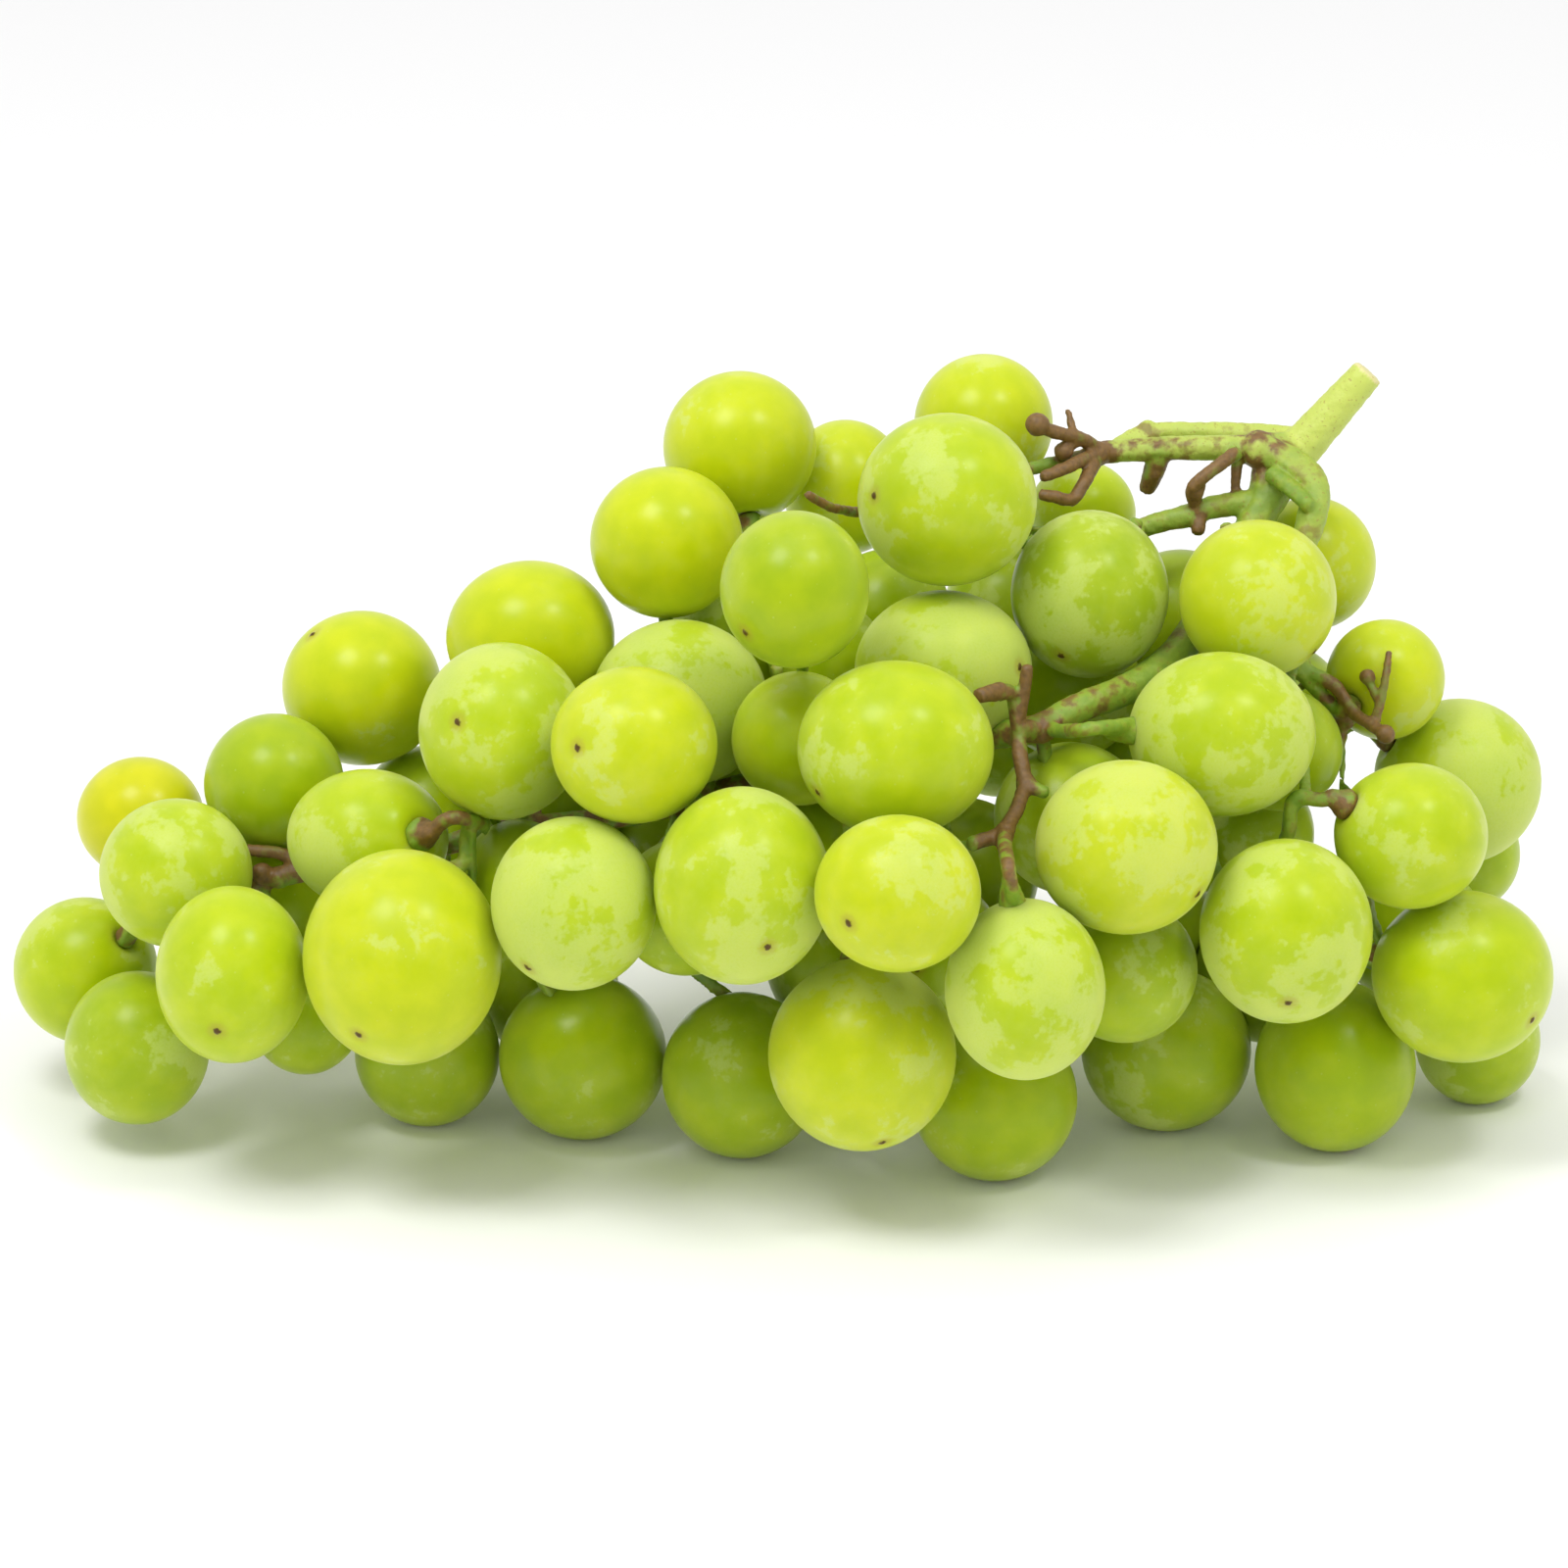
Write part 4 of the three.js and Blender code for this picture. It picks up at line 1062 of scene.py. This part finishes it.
ARMS = (
    Branch(2.1, 2.8, ((77.5, 107.5, 16), (73.1, 102.6, 17), (68.2, 97.1, 18)), (0.0, 0.0), 1.0),
    Branch(2.8, 2.1, ((68.2, 97.1, 18), (65.5, 96.6, 16), (62.5, 97.3, 14)), (0.0, 0.1), 0.9),
    Branch(
        2.0, 0.9,
        ((68.2, 98.2, 19), (63.1, 98.9, 20), (55.9, 99.4, 20), (48.2, 99.5, 19), (43.5, 97.4, 17)),
        (0.05, 0.25), 0.75,
    ),
    Branch(
        1.7, 1.4,
        ((63.1, 97.4, 15), (55.9, 97.5, 15), (49.4, 97.4, 16), (42.1, 96.9, 16)),
        (0.1, 0.45), 0.6,
    ),
    Branch(1.5, 1.0, ((49.8, 96.9, 16), (49.1, 94.2, 17), (48.0, 91.9, 19)), (0.5, 0.7)),
    Branch(
        2.0, 1.2,
        ((64.4, 96.9, 14), (68.0, 95.2, 13), (70.3, 92.8, 11), (70.3, 88.5, 9), (67.5, 80.5, 8),
         (67.0, 73.0, 8), (69.0, 67.2, 8)),
        (0.15, 0.2), 0.3,
    ),
    Branch(
        2.4, 1.8,
        ((64.8, 96.9, 16), (65.6, 93.2, 15), (62.8, 88.2, 14), (57.2, 77.6, 10), (51.4, 69.5, 2),
         (45.5, 65.5, -4), (39.8, 63.3, -9), (33.8, 60.2, -12)),
        (0.05, 0.35), 0.1,
    ),
    Branch(
        1.8, 1.1,
        ((33.8, 60.2, -12), (26.0, 59.1, -4), (13.0, 57.5, 2), (0.0, 54.2, 5), (-19.5, 49.0, 6),
         (-39.0, 46.4, 6), (-52.0, 42.5, 8), (-67.0, 40.8, 10), (-76.7, 36.0, 14)),
        (0.4, 0.55),
    ),
    Branch(
        1.6, 1.1,
        ((64.0, 90.6, 15), (57.2, 89.7, 14), (53.8, 88.5, 13), (48.5, 87.2, 14), (42.0, 84.5, 16)),
        (0.1, 0.3), 0.2,
    ),
    Branch(0.9, 0.8, ((69.0, 67.2, 8), (72.2, 63.8, 9), (75.3, 60.6, 9)), (0.3, 0.5)),
)

TWIGS = (
    Branch(1.1, 0.9, ((64.5, 94.2, 12), (68.0, 91.5, 9), (69.7, 89.6, 7)), (0.1, 0.2)),
    Branch(
        0.9, 0.6,
        ((60.1, 96.9, 13), (58.1, 95.5, 11), (56.0, 93.9, 10), (54.1, 92.2, 10), (54.5, 89.0, 13)),
        (0.6, 0.95),
    ),
    Branch(0.7, 0.5, ((60.1, 95.8, 15), (59.8, 91.0, 15)), (0.6, 0.9)),
    Branch(1.0, 0.8, ((54.9, 89.2, 13), (55.0, 86.1, 12)), (0.7, 0.9)),
    Branch(
        0.9, 0.7,
        ((42.1, 96.9, 16), (39.5, 98.7, 12), (35.5, 99.6, 9), (33.6, 100.6, 8)),
        (0.5, 0.95),
    ),
    Branch(0.5, 0.4, ((38.5, 98.9, 11), (37.7, 102.5, 12)), (0.6, 0.8)),
    Branch(
        0.9, 0.7,
        ((42.1, 96.9, 16), (39.6, 95.9, 11), (37.4, 94.8, 8), (34.2, 93.6, 6)),
        (0.6, 0.9),
    ),
    Branch(
        0.9, 0.7,
        ((41.6, 96.5, 15), (39.8, 92.8, 9), (38.2, 90.5, 8), (36.1, 91.0, 6), (33.9, 91.3, 6)),
        (0.6, 0.95),
    ),
    Branch(
        0.8, 0.9,
        ((30.3, 65.4, -16), (31.1, 60.1, -15), (31.3, 56.3, -17), (32.1, 52.9, -18)),
        (0.2, 0.8),
    ),
    Branch(0.8, 0.9, ((30.6, 64.9, -16), (28.6, 65.5, -18), (25.8, 64.5, -21)), (0.6, 0.9)),
    Branch(0.8, 0.7, ((31.2, 61.5, -15), (31.8, 65.0, -16), (32.3, 68.6, -17)), (0.7, 1.0)),
    Branch(0.9, 0.7, ((32.1, 52.9, -18), (33.6, 52.1, -19), (35.0, 51.8, -19)), (0.3, 0.2)),
    Branch(
        0.9, 0.8,
        ((32.1, 52.9, -18), (30.8, 49.3, -22), (29.2, 46.7, -25), (29.1, 44.1, -27)),
        (0.8, 0.9),
    ),
    Branch(0.8, 0.9, ((29.2, 46.4, -25), (26.5, 45.5, -26), (24.8, 44.9, -28)), (0.8, 0.4)),
    Branch(0.8, 0.7, ((-63.0, 41.3, 9.5), (-66.2, 43.5, 9.5), (-71.4, 44.2, 9)), (0.5, 0.9)),
    Branch(1.5, 1.2, ((33.8, 60.2, -12), (31.0, 60.0, -15.2)), (0.5, 0.7)),
    Branch(0.6, 0.6, ((39.5, 98.7, 12), (37.1, 97.0, 11)), (0.9, 0.9)),
    Branch(0.5, 0.5, ((79.0, 63.5, 4), (77.4, 67.1, 5)), (0.6, 0.6)),
    Branch(
        0.9, 0.7,
        ((68.6, 68.2, 8), (73.1, 65.9, 7), (75.0, 62.8, 7), (77.5, 61.0, 4), (79.8, 59.5, 2)),
        (0.3, 0.9),
    ),
    Branch(0.6, 0.4, ((78.3, 60.8, 4), (79.6, 65.9, 4), (80.3, 70.5, 5)), (0.6, 0.8)),
    Branch(
        0.9, 0.5,
        ((42.1, 96.9, 16), (30.0, 94.0, 10), (20.0, 91.0, 10), (11.5, 89.0, 6), (7.5, 89.3, -3),
         (5.9, 89.7, -6), (3.0, 91.4, -9)),
        (0.4, 0.7),
    ),
)


@dataclass(frozen=True)
class Stem:
    """A berry stem that shows: its berry's number, the places it runs through and its looks."""

    berry: int
    places: tuple[tuple[float, float, float], ...]
    dry: tuple[float, float]
    flare: float


STEMS = (
    Stem(19, ((41.5, 60.3, -22), (37.4, 59.9, -17), (35.2, 60.1, -13)), (0.1, 0.3), 2.7),
    Stem(22, ((71.5, 50.7, -13), (68.4, 51.3, -12.5)), (0.85, 0.2), 2.1),
    Stem(24, ((67.0, 46.5, -11), (67.3, 50.4, -12), (68.4, 51.3, -12.5)), (0.1, 0.1), 1.8),
    Stem(
        29,
        ((-45.6, 47.8, -12), (-43.5, 48.5, -12.5), (-41.4, 48.0, -11), (-39.6, 47.6, -7)),
        (0.95, 0.2), 2.3,
    ),
    Stem(33, ((-42.4, 42.4, -9), (-42.1, 46.3, -9), (-41.4, 48.0, -11)), (0.1, 0.1), 1.8),
    Stem(37, ((30.0, 40.4, -39), (29.4, 44.0, -32), (29.2, 46.2, -26)), (0.1, 0.5), 2.2),
)


@dataclass(frozen=True)
class Knob:
    """A swollen node or broken tip: radius, place in the view and how dry it is."""

    radius: float
    place: tuple[float, float, float]
    dryness: float


KNOBS = (
    Knob(2.5, (63.0, 97.3, 14.5), 0.5),
    Knob(1.5, (33.6, 100.6, 8), 1.0),
    Knob(1.2, (37.1, 97.0, 11), 1.0),
    Knob(1.6, (41.6, 96.7, 15), 0.8),
    Knob(1.2, (48.2, 99.9, 19), 0.1),
    Knob(1.9, (34.2, 60.3, -12), 0.6),
    Knob(1.3, (32.1, 52.9, -18), 0.3),
    Knob(1.2, (29.3, 46.6, -25), 0.7),
    Knob(1.2, (79.8, 59.5, 2), 0.7),
    Knob(1.0, (77.4, 67.1, 5), 0.7),
    Knob(1.1, (54.4, 91.6, 11), 0.9),
    Knob(1.3, (-69.3, 41.1, 9.6), 0.8),
    Knob(1.3, (-67.0, 40.4, 9.6), 0.3),
)


Run = tuple[np.ndarray, np.ndarray, tuple[float, float], float]


@dataclass
class Stalk:
    """The stalk with its branches, twigs and berry stems, as one grown body."""

    bark: bpy.types.Material
    box: CadBox
    voxel: float = 0.34 * MM
    sides: int = 12
    step: float = 1.2 * MM
    plumpness: float = 0.16 * MM
    ripple: float = 0.10 * MM
    cap_radius: float = 1.5 * MM
    cap_length: float = 2.4 * MM
    stem_radius: float = 0.85 * MM
    colour_reach: float = 0.8 * MM
    default_weight: float = 0.02
    default_dryness: float = 0.15
    knob_subdivisions: int = 3
    knob_reach: float = 1.1
    pit_reach: float = 1.6 * MM
    cap_sunk: float = 0.6 * MM
    cap_taper: float = 0.5
    cap_dryness: float = 0.5
    stem_rise: float = 2.4 * MM
    flare_steps: tuple[float, ...] = (-0.9, 0.1, 1.1, 2.6)
    flare_profile: tuple[float, ...] = (0.8, 1.0, 0.72, 0.4)
    ripple_frequency: float = 900
    fine_frequency: float = 2200
    smoothing: float = 0.5
    smoothing_rounds: int = 4
    tip_reach: float = 3.2 * MM
    cut_depth: float = 0.35 * MM

    def build(
        self,
        node: bpy.types.Object,
        berries: list[BerryShape],
        shown: dict[int, BerryShape],
    ) -> None:
        """Builds the stalk and puts it in its node's place.

        Args:
            node: The frame's stalk.
            berries: The berries, whose stems end in their pits.
            shown: The berries that show from the front, by number.
        """
        verts, faces = self._frame_mesh(node)
        parts = [(verts, faces)]
        branches = (*ARMS, *TWIGS)
        runs = [(*self._line(branch), branch.dry, branch.pale) for branch in branches]
        for stem in STEMS:
            line, flare = self._stem(stem, shown[stem.berry])
            runs.append((*line, stem.dry, 0.0))
            parts.append(self._tube(*flare))
        parts.extend(self._tube(points, radii) for points, radii, _, _ in runs)
        for knob in KNOBS:
            ball, triangles = ball_mesh(self.knob_subdivisions, knob.radius * MM)
            parts.append((ball + VIEW.point(*knob.place), triangles))
        tree = self._tree(verts)
        held = []
        for berry in berries:
            place, out = berry.pit_place(), berry.pit_normal()
            if berry.has_pit and tree.find(place)[2] < self.pit_reach:
                held.append(berry)
                ends = np.array([place - out * self.cap_sunk, place + out * self.cap_length])
                radii = np.array([self.cap_radius, self.cap_taper * self.cap_radius])
                parts.append(self._tube(ends, radii))
        piece = self._grown(parts)
        self._colour(piece, runs, held)
        piece.data.materials.append(self.bark)
        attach(piece, "root")
        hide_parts("stalk")
        LOG.info("%s: %d faces, %d berry stems", piece.name, len(piece.data.polygons), len(held))

    def _frame_mesh(self, node: bpy.types.Object) -> tuple[np.ndarray, np.ndarray]:
        """Corners and triangles of the frame's stalk.

        Args:
            node: The frame's stalk.

        Returns:
            Both as arrays.
        """
        mesh = bmesh.new()
        mesh.from_mesh(node.data)
        bmesh.ops.remove_doubles(mesh, verts=mesh.verts, dist=MERGE_DISTANCE)
        bmesh.ops.triangulate(mesh, faces=mesh.faces)
        return mesh_arrays(mesh)

    @staticmethod
    def _tree(points: np.ndarray) -> KDTree:
        """A search tree over points.

        Args:
            points: The points.

        Returns:
            The balanced tree.
        """
        tree = KDTree(len(points))
        for index, point in enumerate(points):
            tree.insert(point, index)
        tree.balance()
        return tree

    def _line(self, branch: Branch) -> tuple[np.ndarray, np.ndarray]:
        """A branch's smooth centre line with its radii.

        Args:
            branch: The branch.

        Returns:
            The points and a radius for each.
        """
        points = self._curve(np.array([VIEW.point(*place) for place in branch.places]))
        along = np.linspace(0, 1, len(points))
        radii = (branch.start_radius + (branch.end_radius - branch.start_radius) * along) * MM
        return points, radii

    def _curve(self, knots: np.ndarray) -> np.ndarray:
        """A smooth line through knots.

        Args:
            knots: The knots.

        Returns:
            Its points.
        """
        ends = np.vstack([2 * knots[0] - knots[1], knots, 2 * knots[-1] - knots[-2]])
        line = []
        for a, b, c, d in zip(ends[:-3], ends[1:-2], ends[2:-1], ends[3:]):
            steps = max(2, int(np.linalg.norm(c - b) / self.step))
            for t in np.linspace(0, 1, steps, endpoint=False):
                line.append(
                    0.5
                    * (
                        2 * b
                        + (c - a) * t
                        + (2 * a - 5 * b + 4 * c - d) * t**2
                        + (3 * b - a - 3 * c + d) * t**3
                    )
                )
        return np.array([*line, knots[-1]])

    def _stem(
        self, stem: Stem, berry: BerryShape
    ) -> tuple[tuple[np.ndarray, np.ndarray], tuple[np.ndarray, np.ndarray]]:
        """A berry stem's centre line and that of its flared receptacle.

        Args:
            stem: The stem.
            berry: The berry that it holds.

        Returns:
            Points and radii of the stem, and of the receptacle.
        """
        place, out = berry.pit_place(), berry.pit_normal()
        spots = [VIEW.point(*spot) for spot in stem.places]
        line = self._curve(np.array([place, place + self.stem_rise * out, *spots]))
        flare = place + np.outer(np.array(self.flare_steps) * MM, out)
        radii = np.array(self.flare_profile) * stem.flare * MM
        return (line, np.full(len(line), self.stem_radius)), (flare, radii)

    def _tube(
        self, points: np.ndarray, radii: np.ndarray
    ) -> tuple[np.ndarray, np.ndarray]:
        """A closed round tube along a line.

        Args:
            points: The centre line.
            radii: A radius for each point.

        Returns:
            Corners and triangles.
        """
        ways = np.gradient(points, axis=0)
        ways /= np.linalg.norm(ways, axis=1, keepdims=True)
        side = np.cross(ways[0], [0.0, 0.0, 1.0] if abs(ways[0][2]) < 0.9 else [1.0, 0.0, 0.0])
        angles = np.linspace(0, 2 * math.pi, self.sides, endpoint=False)
        verts = []
        for point, way, radius in zip(points, ways, radii):
            side = side - way * (side @ way)
            side /= np.linalg.norm(side)
            other = np.cross(way, side)
            ring = np.outer(np.cos(angles), side) + np.outer(np.sin(angles), other)
            verts.append(point + ring * radius)
        count, last = self.sides, self.sides * (len(points) - 1)
        faces = []
        for start in range(0, last, count):
            for here in range(count):
                after = (here + 1) % count
                faces.append((start + here, start + after, start + count + here))
                faces.append((start + after, start + count + after, start + count + here))
        for here in range(1, count - 1):
            faces.append((0, here + 1, here))
            faces.append((last, last + here, last + here + 1))
        return np.concatenate(verts), np.array(faces)

    def _grown(self, parts: list[tuple[np.ndarray, np.ndarray]]) -> bpy.types.Object:
        """Grows overlapping parts into one even skin with a rippled surface.

        Args:
            parts: Corners and triangles of each part.

        Returns:
            The piece.
        """
        starts = np.cumsum([0, *[len(verts) for verts, _ in parts]])
        verts = np.concatenate([verts for verts, _ in parts])
        faces = np.concatenate([faces + start for (_, faces), start in zip(parts, starts)])
        rough = new_object("stalk_rough", verts, faces)
        remesh = rough.modifiers.new("skin", "REMESH")
        remesh.mode, remesh.voxel_size = "VOXEL", self.voxel
        smooth = rough.modifiers.new("smooth", "SMOOTH")
        smooth.factor, smooth.iterations = self.smoothing, self.smoothing_rounds
        graph = bpy.context.evaluated_depsgraph_get()
        mesh = bpy.data.meshes.new_from_object(rough.evaluated_get(graph))
        bpy.data.objects.remove(rough)
        points = np.array([vert.co[:] for vert in mesh.vertices])
        normals = np.array([vert.normal[:] for vert in mesh.vertices])
        lift = self._waves(points, self.ripple_frequency)
        lift += 0.5 * self._waves(points, self.fine_frequency)
        points = points + normals * (self.plumpness + self.ripple * lift)[:, None]
        points = self.box.hold(points)
        mesh.vertices.foreach_set("co", points.ravel())
        mesh.polygons.foreach_set("use_smooth", [True] * len(mesh.polygons))
        mesh.name = "stalk_bark"
        piece = bpy.data.objects.new("stalk_bark", mesh)
        bpy.context.scene.collection.objects.link(piece)
        return piece

    @staticmethod
    def _waves(points: np.ndarray, frequency: float) -> np.ndarray:
        """Smooth noise of a frequency at each point."""
        return np.array([noise.noise(Vector(point) * frequency) for point in points])

    def _colour(self, piece: bpy.types.Object, runs: list[Run], held: list[BerryShape]) -> None:
        """Stores how pale, dry or freshly cut each place of the stalk is.

        Args:
            piece: The stalk.
            runs: Its branches, twigs and stems.
            held: The berries whose stems end on it.
        """
        points = np.array([vert.co[:] for vert in piece.data.vertices])
        total = np.full(len(points), self.default_weight)
        pale = np.zeros(len(points))
        dry = total * self.default_dryness
        for line, radii, (start, end), light in runs:
            away, index = self._nearest(points, line)
            reach = (away - radii[index]) / self.colour_reach
            weight = np.exp(-np.maximum(reach, 0) ** 2) / (1 + 2 * away / self.colour_reach)
            total += weight
            pale += weight * light
            dry += weight * (start + (end - start) * index / (len(line) - 1))
        pale, dry = pale / total, dry / total
        for knob in KNOBS:
            away = np.linalg.norm(points - VIEW.point(*knob.place), axis=1)
            near = np.clip(2.0 - away / (knob.radius * self.knob_reach * MM), 0, 1)
            dry = np.maximum(dry, near * knob.dryness)
        for berry in held:
            away = np.linalg.norm(points - berry.pit_place(), axis=1)
            near = np.clip(1.9 - away / self.cap_radius, 0, 1)
            dry = np.maximum(dry, self.cap_dryness * near)
        tip = VIEW.point(*ARMS[0].places[0])
        inwards = VIEW.point(*ARMS[0].places[1]) - tip
        inwards /= np.linalg.norm(inwards)
        near_tip = np.linalg.norm(points - tip, axis=1) < self.tip_reach
        cut = (near_tip & ((points - tip) @ inwards < self.cut_depth)).astype(float)
        for name, values in (("pale", pale), ("dry", dry), ("cut", cut)):
            keep_values(piece.data, name, values)

    @staticmethod
    def _nearest(points: np.ndarray, line: np.ndarray) -> tuple[np.ndarray, np.ndarray]:
        """The nearest point of a line to each point.

        Args:
            points: The points.
            line: Points of the line.

        Returns:
            How far it is, and its number on the line.
        """
        away = np.array([np.linalg.norm(points - place, axis=1) for place in line])
        index = np.argmin(away, axis=0)
        return away[index, np.arange(len(points))], index


@dataclass(frozen=True)
class Lamp:
    """A square area lamp that points at the bunch.

    Attributes:
        name: Its name.
        aside: Degrees to the right of the line of sight.
        above: Degrees above it.
        size: Edge length.
        power: Power in watts.
    """

    name: str
    aside: float
    above: float
    size: float
    power: float


LAMPS = (
    Lamp("lamp_left", -20.0, 47.0, 0.30, 3.0),
    Lamp("lamp_right", 26.0, 46.0, 0.16, 1.5),
    Lamp("lamp_top", 2.0, 56.0, 0.9, 1.25),
)


@dataclass(frozen=True)
class Studio:
    """Pale floor, two near lamps for the paired highlights, a broad one and the camera."""

    view: ViewFrame = VIEW
    floor_size: float = 6.0
    world_strength: float = 0.75
    lamp_distance: float = 0.9
    clip_near: float = 0.05
    clip_far: float = 50.0

    def build(self) -> None:
        """Sets up the room."""
        half = self.floor_size / 2
        corners = np.array([(-half, -half, 0), (half, -half, 0), (half, half, 0), (-half, half, 0)])
        floor = new_object("floor", corners, [(0, 1, 2, 3)], smooth=False)
        floor.data.materials.append(PaleSurface().material())
        floor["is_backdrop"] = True
        self._world()
        self._camera()
        for lamp in LAMPS:
            self._lamp(lamp)
        bpy.context.scene.view_settings.view_transform = "Standard"

    def _world(self) -> None:
        """White light from all round."""
        world = bpy.data.worlds.new("studio")
        bpy.context.scene.world = world
        world.use_nodes = True
        background = world.node_tree.nodes["Background"]
        background.inputs["Color"].default_value = (1.0, 1.0, 1.0, 1.0)
        background.inputs["Strength"].default_value = self.world_strength

    def _camera(self) -> None:
        """The camera at the view's place."""
        data = bpy.data.cameras.new("camera")
        data.angle = 2 * math.atan(self.view.half_width / self.view.distance)
        data.clip_start, data.clip_end = self.clip_near, self.clip_far
        camera = bpy.data.objects.new("camera", data)
        away = Vector(self.view.axes[1])
        camera.location = Vector(self.view.aim) - away * self.view.distance
        camera.rotation_euler = away.to_track_quat("-Z", "Y").to_euler()
        bpy.context.scene.collection.objects.link(camera)
        bpy.context.scene.camera = camera

    def _lamp(self, lamp: Lamp) -> None:
        """Hangs a lamp.

        Args:
            lamp: The lamp.
        """
        across, away, up = (Vector(axis) for axis in self.view.axes)
        turn, rise = math.radians(lamp.aside), math.radians(lamp.above)
        back = -away * math.cos(rise) * math.cos(turn)
        way = back + across * math.sin(turn) + up * math.sin(rise)
        data = bpy.data.lights.new(lamp.name, "AREA")
        data.shape, data.size, data.energy = "SQUARE", lamp.size, lamp.power
        light = bpy.data.objects.new(lamp.name, data)
        light.location = Vector(self.view.aim) + way.normalized() * self.lamp_distance
        light.rotation_euler = way.to_track_quat("Z", "Y").to_euler()
        bpy.context.scene.collection.objects.link(light)


def main() -> None:
    """Builds the bunch over its frame, and the studio."""
    logging.basicConfig(level=logging.INFO, format="%(message)s")
    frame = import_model()
    low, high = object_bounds()
    box = CadBox(tuple(low), tuple(high))
    effects = Effects()
    skins = {skin.tone: skin.material(effects) for skin in SKINS}
    bunch = BerryBunch(skins, box)
    bunch.build(frame["nodes"])
    stalk = Stalk(StalkBark().material(effects), box)
    stalk.build(frame["nodes"]["stalk"], bunch.shapes, bunch.shown)
    Studio().build()


if __name__ == "__main__":
    main()
